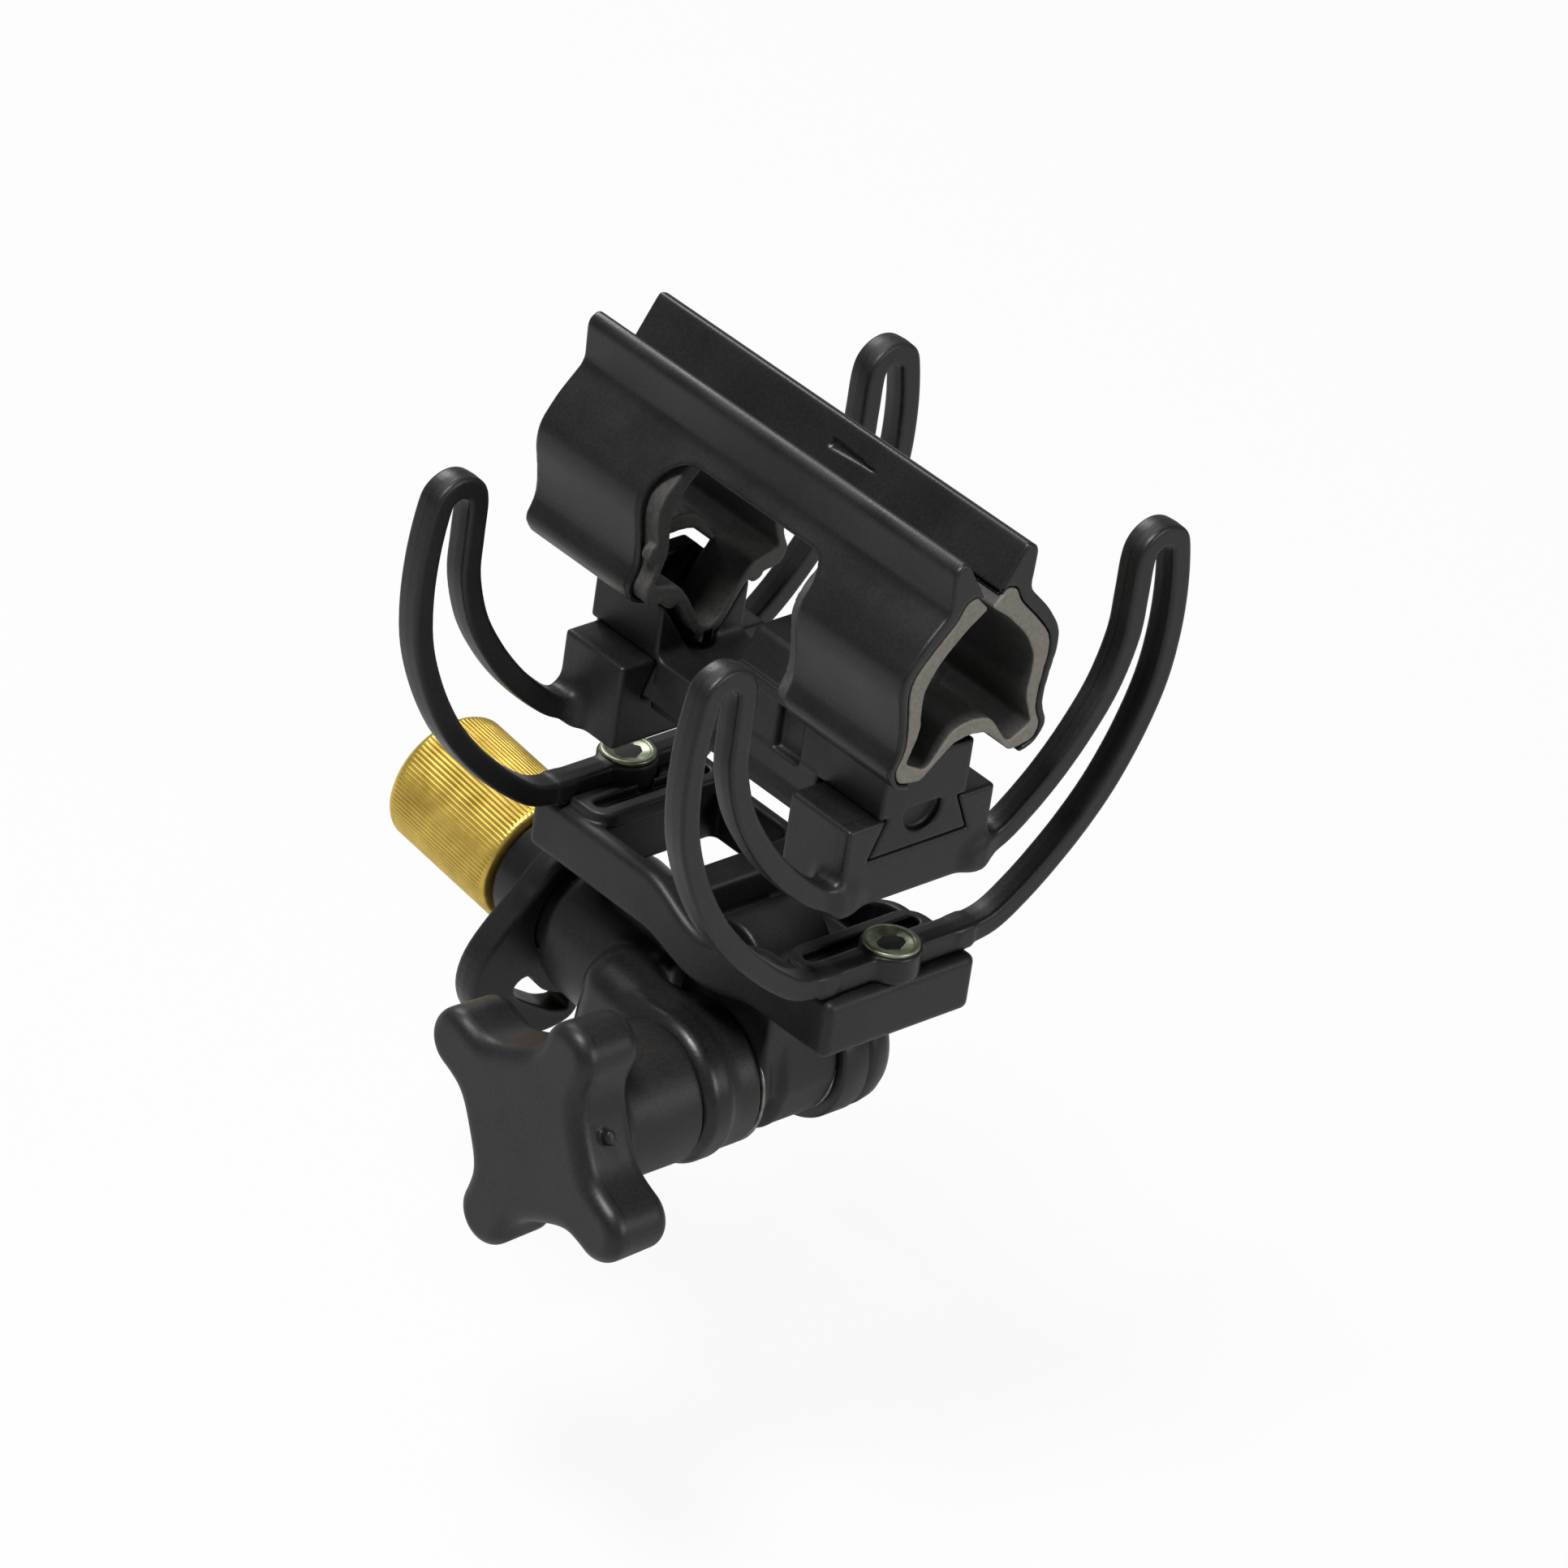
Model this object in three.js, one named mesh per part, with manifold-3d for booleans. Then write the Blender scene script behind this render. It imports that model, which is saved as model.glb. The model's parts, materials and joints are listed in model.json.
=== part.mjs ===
// Lyre suspension mount for pencil microphones: two sprung lyres carry a soft-lined clip above a bar,
// and a swivel with a star knob joins the bar to a knurled brass stand adapter.
// Millimetres. X across, Y along the microphone, Z up. Origin: centre of the brass adapter's open end.
import * as THREE from 'three';
import { mergeVertices } from 'three/addons/utils/BufferGeometryUtils.js';
import Module from 'manifold-3d';

const wasm = await Module();
wasm.setup();

// ---- driving dimensions ------------------------------------------------------------------------
// Suspension heights are measured from the top of the lyre screws, lengths from midway between lyres.
const LYRE_Y = 27.4;            // lyre plane from the middle of the mount
const LYRE_THICK = 3.9;
const TIP_X = 38.2;             // hairpin centre from the middle plane
const TIP_Z = 49.2;
const HAIRPIN_R = 3.2;          // radius of the arm's centreline round the tip
const ARM_HALF = 1.72;          // half the arm's width in the lyre plane
const BEAM_HALF_X = 13.5;       // straight base beam of a lyre
const BEAM_BOTTOM = -4.6;
const BEAM_TOP = -0.6;
const BOSS_R = 4.3;             // boss round the lyre screw
const BLOCK_HALF_X = 12.9;      // dovetail block that the inner arms meet
const BLOCK_LENGTH = 12;
const BLOCK_BOTTOM = 8.8;
const BLOCK_TOP = 21.7;

const DOVE_FLOOR = 16.0;        // dovetail socket in that block
const DOVE_HALF_FLOOR = 8.9;
const DOVE_HALF_MOUTH = 6.4;
const DOVE_GAP = 0.2;           // clearance of the carrier's foot in the socket

const SCREW_HEAD_R = 3.95;      // lyre screw
const SCREW_HEAD_H = 0.6;
const SCREW_R = 1.95;
const SCREW_GAP = 0.3;
const SCREW_HOLE_R = SCREW_R + SCREW_GAP;
const SCREW_LENGTH = 11.4;
const INSERT_R = 3.1;           // brass insert in the bar
const INSERT_LENGTH = 6;

const BAR_HALF_X = 13.2;
const BAR_END_Y = 31;
const BAR_DEPTH = 8.7;
const BAR_BLOCK = 11.5;         // solid block under each lyre
const BAR_WALL = 2.6;
const BAR_DIP_TOP = 4.0;        // the side walls sink round the hinge
const BAR_DIP_BOTTOM = 2.6;
const BAR_DIP_HALF = 12.5;
const LIP_TOP = -3.0;           // raised lip behind each lyre beam
const LIP_DEPTH = 6.6;
const LIP_HALF_X = 11.8;
const LIP_SLOT_HALF_X = 10;
const LIP_SLOT_WIDTH = 2.2;

const CLIP_Y = 1.8;             // the clip sits a little to the rear in its dovetails
const CLIP_HALF = 37.4;
const WINDOW_HALF = 15.8;
const WINDOW_TOP = 54.2;
const WINDOW_CORNER = 4.5;
const CARRIER_FRONT = -LYRE_Y - LYRE_THICK / 2;  // flush with the front lyre's face
const CARRIER_REAR = 30.4;
const NECK_HALF_X = 7.7;        // carrier above the lyre blocks
const NECK_TOP = 30.4;
const BELLY_BOTTOM = 14.4;      // carrier between the lyre blocks
const BELLY_GAP = 0.6;
const TROUGH_GAP = 0.7;         // room for the liner's V in the carrier's channel
const TROUGH_HALF_X = 3.4;      // flat bottom of that channel
const TROUGH_FLOOR = 22.2;
const BRIDGE_REAR = 2.0;         // rest block under the clip's window
const BRIDGE_FRONT = -7.6;
const BRIDGE_TOP = 34.8;
const JAW_SPLIT = 0.3;          // half the gap between the left and right liner
const LINER_GAP = 0.15;         // clearance of the liner in its shell

const HINGE_Y = -4.7;           // tilt hinge, axis along X
const HINGE_Z = -31.5;
const BASE_TILT = 6.4;          // degrees that the stand end rises above the bar
const KNUCKLE_HALF_X = 6.4;
const KNUCKLE_R = 10.2;
const WASHER_T = 0.5;
const WASHER_R = 10.5;
const HINGE_GAP = 0.1;          // running clearance of each hinge face
const CHEEK_R = 10.8;
const CHEEK_OUT = 17.0;         // outer face of the base's cheek
const CAP_OUT = 17.2;           // outer face of the hinge cap
const CAP_R = 11.2;
const BOLT_R = 2.9;
const BOLT_GAP = 0.3;
const BOLT_HOLE_R = BOLT_R + BOLT_GAP;
const BOLT_HEAD_R = 5.2;
const BOLT_HEAD_T = 3.4;
const NUT_R = 5.4;              // across the corners
const NUT_T = 4.4;

const BODY_R = 11.3;            // swivel body behind the hinge
const BODY_FRONT = 13.2;
const BODY_BACK = 34;
const COLLAR_R = 9.1;
const CLIP_PLATE_FRONT = 35.5;
const CLIP_PLATE_T = 4.6;
const ADAPTER_NEAR = 46.2;
const ADAPTER_LENGTH = 22.5;
const ADAPTER_R = 10.2;
const ADAPTER_CHAMFER = 1.2;
const SOCKET_R = 4.76;          // 3/8 inch stand thread
const SOCKET_DEPTH = 14;
const PIVOT_R = 2.5;            // screw that holds the adapter on the collar
const PIVOT_HEAD_R = 4.2;
const PIVOT_HEAD_T = 3;
const PIVOT_LENGTH = 20;

const KNOB_HUB_R = 10.3;
const KNOB_HUB_OUT = 30.6;
const KNOB_OUT = 41;
const KNOB_LOBE_R = 21.9;
const KNOB_WAIST_R = 13.8;
const KNOB_TURN = 20;           // degrees that the first lobe stands from +Y
const KNOB_GAP = 0.3;

// ---- materials ---------------------------------------------------------------------------------
const plastic = new THREE.MeshStandardMaterial({ color: 0x232326, roughness: 0.55, metalness: 0 });
const soft = new THREE.MeshStandardMaterial({ color: 0x6e6a62, roughness: 0.7, metalness: 0 });
const brass = new THREE.MeshStandardMaterial({ color: 0xbe9f3c, roughness: 0.3, metalness: 1 });
const steel = new THREE.MeshStandardMaterial({ color: 0x7f8a76, roughness: 0.35, metalness: 1 });

// ---- solids ------------------------------------------------------------------------------------
function solid(geometry) {
  const bare = geometry.clone();
  bare.deleteAttribute('normal');
  bare.deleteAttribute('uv');
  const merged = mergeVertices(bare, 1e-5);
  return new wasm.Manifold(new wasm.Mesh({
    numProp: 3,
    vertProperties: new Float32Array(merged.attributes.position.array),
    triVerts: new Uint32Array(merged.index.array),
  }));
}

function meshOf(name, body, material) {
  const cut = body.getMesh();
  const geometry = new THREE.BufferGeometry();
  geometry.setAttribute('position', new THREE.BufferAttribute(cut.vertProperties, 3));
  geometry.setIndex(new THREE.BufferAttribute(cut.triVerts, 1));
  geometry.computeVertexNormals();
  const mesh = new THREE.Mesh(geometry, material);
  mesh.name = name;
  return mesh;
}

const union = (bodies) => bodies.reduce((sum, body) => sum.add(body));

function outline(points) {
  return new THREE.Shape(points.map(([a, b]) => new THREE.Vector2(a, b)));
}

// An outline in X and Z, drawn out from y0 to y1.
function alongY(shape, y0, y1) {
  const geometry = new THREE.ExtrudeGeometry(shape, { depth: y1 - y0, bevelEnabled: false, curveSegments: 8 });
  return solid(geometry.rotateX(Math.PI / 2).translate(0, y1, 0));
}

// An outline in Y and Z, drawn out from x0 to x1.
function alongX(shape, x0, x1) {
  const geometry = new THREE.ExtrudeGeometry(shape, { depth: x1 - x0, bevelEnabled: false, curveSegments: 8 });
  return solid(geometry.rotateX(Math.PI / 2).rotateZ(Math.PI / 2).translate(x0, 0, 0));
}

// An outline in X and Y, drawn out from z0 to z1.
function alongZ(shape, z0, z1) {
  const geometry = new THREE.ExtrudeGeometry(shape, { depth: z1 - z0, bevelEnabled: false, curveSegments: 8 });
  return solid(geometry.translate(0, 0, z0));
}

function block(x0, x1, y0, y1, z0, z1) {
  const geometry = new THREE.BoxGeometry(x1 - x0, y1 - y0, z1 - z0);
  return solid(geometry.translate((x0 + x1) / 2, (y0 + y1) / 2, (z0 + z1) / 2));
}

// A turned body from [radius, height] points that start and end on the axis.
function turned(points, axis, segments = 32) {
  const geometry = new THREE.LatheGeometry(points.map(([r, h]) => new THREE.Vector2(r, h)), segments);
  if (axis === 'x') geometry.rotateZ(-Math.PI / 2);
  if (axis === 'z') geometry.rotateX(Math.PI / 2);
  return solid(geometry);
}

function rod(radius, h0, h1, axis, segments = 32) {
  return turned([[0, h0], [radius, h0], [radius, h1], [0, h1]], axis, segments);
}

function capsule(halfLength, radius) {
  const shape = new THREE.Shape();
  shape.absarc(halfLength - radius, 0, radius, -Math.PI / 2, Math.PI / 2, false);
  shape.absarc(radius - halfLength, 0, radius, Math.PI / 2, 1.5 * Math.PI, false);
  return shape;
}

// ---- lyres -------------------------------------------------------------------------------------
// Centreline of one arm: off the beam, up the outside, round the hairpin and down to the block.
function armCentreline() {
  const outside = [
    [BEAM_HALF_X - 1.5, -2.6], [17.2, -1.7], [21.8, 1.1], [26.4, 4.9], [30.9, 9.4],
    [35.1, 14.8], [38.8, 21.6], [41.4, 28.8], [42.4, 36.0], [42.3, 43.0],
  ];
  const inside = [
    [34.9, 43.6], [34.6, 37.6], [32.4, 30.6], [28.8, 24.6], [24.6, 19.4], [20.4, 15.4], [16.4, 12.4],
    [BLOCK_HALF_X - 1, BLOCK_BOTTOM + ARM_HALF],
  ];
  const hairpin = [0, 45, 90, 135, 180].map((turn) => {
    const a = THREE.MathUtils.degToRad(turn);
    return [TIP_X + HAIRPIN_R * Math.cos(a), TIP_Z + HAIRPIN_R * Math.sin(a)];
  });
  const points = [...outside, ...hairpin, ...inside].map(([x, z]) => new THREE.Vector3(x, z, 0));
  return new THREE.CatmullRomCurve3(points, false, 'centripetal').getSpacedPoints(64);
}

function armStrip() {
  const line = armCentreline();
  const left = [];
  const right = [];
  line.forEach((point, i) => {
    const before = line[Math.max(i - 1, 0)];
    const after = line[Math.min(i + 1, line.length - 1)];
    const along = new THREE.Vector2(after.x - before.x, after.y - before.y).normalize();
    left.push([point.x - along.y * ARM_HALF, point.y + along.x * ARM_HALF]);
    right.push([point.x + along.y * ARM_HALF, point.y - along.x * ARM_HALF]);
  });
  return outline([...right, ...left.reverse()]);
}

function dovetail(gap) {
  return outline([
    [-DOVE_HALF_FLOOR + gap, DOVE_FLOOR + gap], [DOVE_HALF_FLOOR - gap, DOVE_FLOOR + gap],
    [DOVE_HALF_MOUTH - gap, BLOCK_TOP + 0.3], [-DOVE_HALF_MOUTH + gap, BLOCK_TOP + 0.3],
  ]);
}

// The front lyre; its block reaches towards the middle of the mount.
function lyreSolid() {
  const front = -LYRE_THICK / 2;
  const arm = alongY(armStrip(), front, -front);
  const beam = block(-BEAM_HALF_X, BEAM_HALF_X, front, -front, BEAM_BOTTOM, BEAM_TOP);
  const boss = rod(BOSS_R, BEAM_BOTTOM, BEAM_TOP, 'z');
  const cheeks = block(-BLOCK_HALF_X, BLOCK_HALF_X, front, front + BLOCK_LENGTH, BLOCK_BOTTOM, BLOCK_TOP);
  const socket = alongY(dovetail(0), front - 1, front + BLOCK_LENGTH + 1);
  const hole = rod(SCREW_HOLE_R, BEAM_BOTTOM - 1, BEAM_TOP + 1, 'z', 20);
  return union([arm, arm.mirror([1, 0, 0]), beam, boss, cheeks]).subtract(socket).subtract(hole);
}

function lyreScrew() {
  const head = rod(SCREW_HEAD_R, BEAM_TOP, BEAM_TOP + SCREW_HEAD_H, 'z', 24);
  const shank = rod(SCREW_R, BEAM_TOP - SCREW_LENGTH, BEAM_TOP, 'z', 20);
  const key = rod(2.2, BEAM_TOP - 1.2, BEAM_TOP + SCREW_HEAD_H + 1, 'z', 6);
  return head.add(shank).subtract(key.intersect(rod(1.7, -5, 5, 'z', 24)));
}

function lyreInsert() {
  const top = BEAM_BOTTOM - 1.2;
  return rod(INSERT_R, top - INSERT_LENGTH, top, 'z', 24)
    .subtract(rod(SCREW_R + 0.1, top - INSERT_LENGTH - 1, top + 1, 'z', 20));
}

// ---- bar ---------------------------------------------------------------------------------------
// Depth share of the dip in the side walls, 1 above the hinge and 0 past its half width.
const dip = (y) => (Math.abs(y - HINGE_Y) < BAR_DIP_HALF
  ? 0.5 + 0.5 * Math.cos((Math.PI * (y - HINGE_Y)) / BAR_DIP_HALF) : 0);

function barProfile() {
  const steps = Array.from({ length: 13 }, (_, i) => HINGE_Y + BAR_DIP_HALF * (i / 6 - 1));
  const top = [-BAR_END_Y, ...steps, BAR_END_Y].map((y) => [y, BEAM_BOTTOM - BAR_DIP_TOP * dip(y)]);
  const low = [-BAR_END_Y, ...steps, BAR_END_Y].map((y) => [y, BEAM_BOTTOM - BAR_DEPTH - BAR_DIP_BOTTOM * dip(y)]);
  return outline([...low, ...top.reverse()]);
}

// The lip behind one lyre beam, with its long slot.
function barLip() {
  const near = -LYRE_Y + LYRE_THICK / 2 + 0.2;
  const plate = alongZ(outline([
    [-LIP_HALF_X, near], [LIP_HALF_X, near], [LIP_HALF_X - 1.2, near + LIP_DEPTH - 1.8],
    [LIP_HALF_X - 4, near + LIP_DEPTH], [4 - LIP_HALF_X, near + LIP_DEPTH],
    [1.2 - LIP_HALF_X, near + LIP_DEPTH - 1.8],
  ]), BEAM_BOTTOM - 1, LIP_TOP);
  const slot = alongZ(capsule(LIP_SLOT_HALF_X, LIP_SLOT_WIDTH / 2), BEAM_BOTTOM - 0.5, LIP_TOP + 1);
  const room = rod(BOSS_R + 0.2, BEAM_BOTTOM, LIP_TOP + 1, 'z').translate(0, -LYRE_Y, 0);
  return plate.subtract(slot.translate(0, near + 3.4, 0)).subtract(room);
}

function barSolid() {
  const inner = BAR_HALF_X - BAR_WALL;
  const gapEnd = BAR_END_Y - BAR_BLOCK;
  const ribY = HINGE_Y + 8.3;
  const frame = alongX(barProfile(), -BAR_HALF_X, BAR_HALF_X);
  const rearOpening = block(-inner, inner, ribY + 1.8, gapEnd, -40, 10);
  const frontOpening = block(-inner, inner, -gapEnd, ribY - 1.8, -BAR_DEPTH + BEAM_BOTTOM + 1.5, 10);
  const frontDrop = block(-inner, inner, -gapEnd, HINGE_Y - KNUCKLE_R + 2, -40, 10);
  const crown = rod(6.2, -KNUCKLE_HALF_X, KNUCKLE_HALF_X, 'x', 24).translate(0, HINGE_Y, -14.5);
  const lip = barLip();
  const web = block(-KNUCKLE_HALF_X, KNUCKLE_HALF_X, HINGE_Y - 9, HINGE_Y + 9, HINGE_Z, BEAM_BOTTOM - BAR_DEPTH);
  const knuckle = rod(KNUCKLE_R, -KNUCKLE_HALF_X, KNUCKLE_HALF_X, 'x').translate(0, HINGE_Y, HINGE_Z);
  const bolt = rod(BOLT_HOLE_R, -20, 20, 'x', 24).translate(0, HINGE_Y, HINGE_Z);
  const top = BEAM_BOTTOM - 1.2;
  const pocket = union([
    rod(INSERT_R + 0.05, top - INSERT_LENGTH - 0.2, BEAM_BOTTOM + 1, 'z', 24),
    rod(SCREW_HOLE_R, top - INSERT_LENGTH - 1.2, BEAM_BOTTOM, 'z', 20),
  ]);
  return frame
    .subtract(rearOpening).subtract(frontOpening).subtract(frontDrop)
    .add(crown).add(web).add(knuckle)
    .add(lip).add(lip.rotate([0, 0, 180]))
    .subtract(pocket.translate(0, -LYRE_Y, 0)).subtract(pocket.translate(0, LYRE_Y, 0))
    .subtract(bolt);
}

// ---- carrier and clip --------------------------------------------------------------------------
// The carrier's channel: it follows the V of the liner's foot with room for the jaws to open.
function troughShape() {
  const top = NECK_TOP + 1;
  const [tipX, tipZ] = VALLEY_TIP;
  const [edgeX, edgeZ] = VALLEY_EDGE;
  const wide = tipX + TROUGH_GAP + ((top - tipZ) * (edgeX - tipX)) / (edgeZ - tipZ);
  return outline([[-TROUGH_HALF_X, TROUGH_FLOOR], [TROUGH_HALF_X, TROUGH_FLOOR], [wide, top], [-wide, top]]);
}

function carrierSolid() {
  const y0 = CARRIER_FRONT;
  const y1 = CARRIER_REAR;
  const bellyEnd = LYRE_Y + LYRE_THICK / 2 - BLOCK_LENGTH - BELLY_GAP;
  const neck = block(-NECK_HALF_X, NECK_HALF_X, y0, y1, BLOCK_TOP + 0.1, NECK_TOP);
  const foot = alongY(dovetail(DOVE_GAP), y0, y1);
  const belly = block(-NECK_HALF_X, NECK_HALF_X, -bellyEnd, bellyEnd, BELLY_BOTTOM, BLOCK_TOP + 1);
  const trough = alongY(troughShape(), y0 + 3, y1 - 3);
  const sideWindow = block(-20, 20, BRIDGE_REAR, CLIP_Y + WINDOW_HALF - 1, TROUGH_FLOOR, NECK_TOP + 1);
  const pocket = block(NECK_HALF_X - 1.5, 20, CLIP_Y - WINDOW_HALF + 1.2, -2.4, 21.5, 28.2);
  const recess = block(-3.4, 3.4, y0 - 1, y0 + 1.2, 18, 22);
  const core = block(-4.6, 4.6, -bellyEnd + 2.4, bellyEnd - 2.4, BELLY_BOTTOM - 1, TROUGH_FLOOR - 2);
  const bridge = alongY(outline([
    [-NECK_HALF_X + 0.2, TROUGH_FLOOR - 1], [NECK_HALF_X - 0.2, TROUGH_FLOOR - 1], [NECK_HALF_X - 0.2, 29],
    [4.6, BRIDGE_TOP], [-4.6, BRIDGE_TOP], [-NECK_HALF_X + 0.2, 29],
  ]), BRIDGE_FRONT, BRIDGE_REAR);
  return union([neck, foot, belly])
    .subtract(trough).subtract(sideWindow).add(bridge)
    .subtract(pocket).subtract(pocket.mirror([1, 0, 0]))
    .subtract(recess).subtract(core);
}

// Half sections of the clip in X and Z. The seat is the line where shell and liner meet.
const BORE_Z = 45.3;
const SHELL_OUT = [
  [5.6, 64.0], [7.2, 62.8], [7.0, 56.8], [11.0, 52.8], [13.6, 49.1], [13.9, 46.2],
  [12.8, 40.8], [12.6, 37.4], [14.1, 34.4], [12.4, 31.6], [9.7, 30.7],
];
const SEAT = [
  [9.8, 31.8], [12.0, 32.3], [12.9, 34.4], [11.5, 37.3], [11.7, 41.0], [12.5, 46.2],
  [12.0, 48.6], [9.7, 51.4], [5.7, 55.4], [4.4, 57.9], [2.6, 58.3],
];
const SHELL_LIP = [[1.5, 57.6], [1.1, 57.4], [4.9, 63.4]];
const LINER_IN = [
  [JAW_SPLIT, 55.8], [3.8, 53.3], [7.6, 49.6], [9.6, 46.0], [9.7, 43.4], [9.2, 39.9], [11.0, 35.2],
];
const HUMP = [[7.2, 33.2], [3.8, 38.2], [JAW_SPLIT, 38.9], [JAW_SPLIT, 36.4], [2.8, 36.0], [7.8, 31.8]];
const VALLEY_TIP = [2.2, 24.7];    // outer face of the V, from its tip up to the shell
const VALLEY_EDGE = [7.6, 32.0];
const VALLEY = [
  [8.6, 34.3], [6.9, 33.4], [1.6, 26.2], [JAW_SPLIT, 25.7], [JAW_SPLIT, VALLEY_TIP[1] - 0.3], VALLEY_TIP,
  VALLEY_EDGE,
];

// The liner's outer line: the seat, drawn in towards the bore by the clearance.
const LINER_OUT = SEAT.map(([x, z]) => {
  const reach = Math.hypot(x, z - BORE_Z);
  const share = 1 - LINER_GAP / reach;
  return [x * share, BORE_Z + (z - BORE_Z) * share];
});

// The side window: open below, round at its upper corners.
function windowShape() {
  const shape = new THREE.Shape();
  shape.moveTo(CLIP_Y - WINDOW_HALF, 20);
  shape.lineTo(CLIP_Y + WINDOW_HALF, 20);
  shape.absarc(CLIP_Y + WINDOW_HALF - WINDOW_CORNER, WINDOW_TOP - WINDOW_CORNER, WINDOW_CORNER, 0, Math.PI / 2, false);
  shape.absarc(CLIP_Y - WINDOW_HALF + WINDOW_CORNER, WINDOW_TOP - WINDOW_CORNER, WINDOW_CORNER,
    Math.PI / 2, Math.PI, false);
  return shape;
}

function shellSolid() {
  const y0 = CLIP_Y - CLIP_HALF;
  const shell = alongY(outline([...SHELL_OUT, ...SEAT, ...SHELL_LIP]), y0, CLIP_Y + CLIP_HALF);
  return shell.subtract(alongX(windowShape(), 0, 30));
}

function linerSolid() {
  const y0 = CLIP_Y - CLIP_HALF;
  const y1 = CLIP_Y + CLIP_HALF;
  const valleyEnd = WINDOW_HALF + 6;
  const humped = outline([...LINER_OUT, ...LINER_IN, ...HUMP]);
  const valleyed = outline([...LINER_OUT, ...LINER_IN, ...VALLEY]);
  const strip = outline([...LINER_OUT.slice(-3), ...LINER_IN.slice(0, 2)]);
  return union([
    alongY(humped, y0, CLIP_Y - valleyEnd), alongY(valleyed, CLIP_Y - valleyEnd, CLIP_Y - WINDOW_HALF),
    alongY(valleyed, CLIP_Y + WINDOW_HALF, CLIP_Y + valleyEnd), alongY(humped, CLIP_Y + valleyEnd, y1),
    alongY(strip, CLIP_Y - WINDOW_HALF, CLIP_Y + WINDOW_HALF),
  ]);
}

// ---- swivel ------------------------------------------------------------------------------------
// Everything from here is drawn with the hinge axis through the origin and the stand end along +Y.
function hingeWasher() {
  return rod(WASHER_R, 0, WASHER_T, 'x').subtract(rod(BOLT_HOLE_R, -1, 2, 'x', 24));
}

function hingeCap() {
  const start = KNUCKLE_HALF_X + WASHER_T + 2 * HINGE_GAP;
  const nutStart = CAP_OUT - 2 - NUT_T;
  const body = turned([[0, start], [CAP_R, start], [CAP_R, start + 4.5], [CAP_R - 1, CAP_OUT - 1.2],
    [CAP_R - 2.4, CAP_OUT], [0, CAP_OUT]], 'x');
  const pocket = rod(NUT_R + 0.25, nutStart, CAP_OUT + 1, 'x', 6);
  return body.subtract(pocket).subtract(rod(BOLT_HOLE_R, 0, 30, 'x', 24));
}

function hingeNut() {
  const nutStart = CAP_OUT - 2 - NUT_T;
  return rod(NUT_R, nutStart, nutStart + NUT_T, 'x', 6).subtract(rod(BOLT_R + 0.1, 0, 30, 'x', 24));
}

function clampBolt() {
  const head = -KNOB_OUT + 5;
  return rod(BOLT_R, head, CAP_OUT - 1, 'x', 24).add(rod(BOLT_HEAD_R, head, head + BOLT_HEAD_T, 'x', 6));
}

function starShape() {
  const shape = [];
  for (let i = 0; i < 72; i += 1) {
    const a = (i / 72) * 2 * Math.PI;
    const lobe = (0.5 + 0.5 * Math.cos(4 * a)) ** 1.3;
    const r = KNOB_WAIST_R + (KNOB_LOBE_R - KNOB_WAIST_R) * lobe;
    const turn = a + THREE.MathUtils.degToRad(KNOB_TURN);
    shape.push([r * Math.cos(turn), r * Math.sin(turn)]);
  }
  return outline(shape);
}

function knobSolid() {
  const head = -KNOB_OUT + 5;
  const hub = rod(KNOB_HUB_R, -KNOB_HUB_OUT - 1, -CHEEK_OUT - KNOB_GAP, 'x');
  const star = alongX(starShape(), -KNOB_OUT, -KNOB_HUB_OUT);
  const headRoom = rod(BOLT_HEAD_R + 0.25, head - 0.1, head + BOLT_HEAD_T + 0.1, 'x', 6);
  const mouth = rod(BOLT_HEAD_R - 1, head + BOLT_HEAD_T, 0, 'x', 24);
  return hub.add(star).subtract(headRoom).subtract(mouth);
}

function swivelBody() {
  const inner = -KNUCKLE_HALF_X - WASHER_T - 2 * HINGE_GAP;
  const cheek = turned([[0, -CHEEK_OUT], [CHEEK_R - 1.6, -CHEEK_OUT], [CHEEK_R - 0.4, -CHEEK_OUT + 1],
    [CHEEK_R - 0.4, -CHEEK_OUT + 3], [CHEEK_R, -CHEEK_OUT + 4.2], [CHEEK_R, inner - 1],
    [CHEEK_R - 0.8, inner], [0, inner]], 'x', 36);
  const arm = block(-CHEEK_OUT + 1.2, inner, 0, BODY_FRONT + 5, -9.4, 9.4);
  const trunk = turned([[0, BODY_FRONT], [BODY_R - 2, BODY_FRONT], [BODY_R, BODY_FRONT + 2], [BODY_R, BODY_BACK - 2.5],
    [BODY_R - 2, BODY_BACK], [COLLAR_R, BODY_BACK], [COLLAR_R, ADAPTER_NEAR - 0.2], [0, ADAPTER_NEAR - 0.2]], 'y', 36);
  const room = rod(KNUCKLE_R + 0.8, -KNUCKLE_HALF_X - WASHER_T - 0.2, 30, 'x', 36);
  const bolt = rod(BOLT_HOLE_R, -30, 30, 'x', 24);
  const pivot = rod(PIVOT_R + 0.15, ADAPTER_NEAR - 14, ADAPTER_NEAR + 1, 'y', 24);
  return union([cheek, arm, trunk]).subtract(room).subtract(bolt).subtract(pivot);
}

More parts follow.
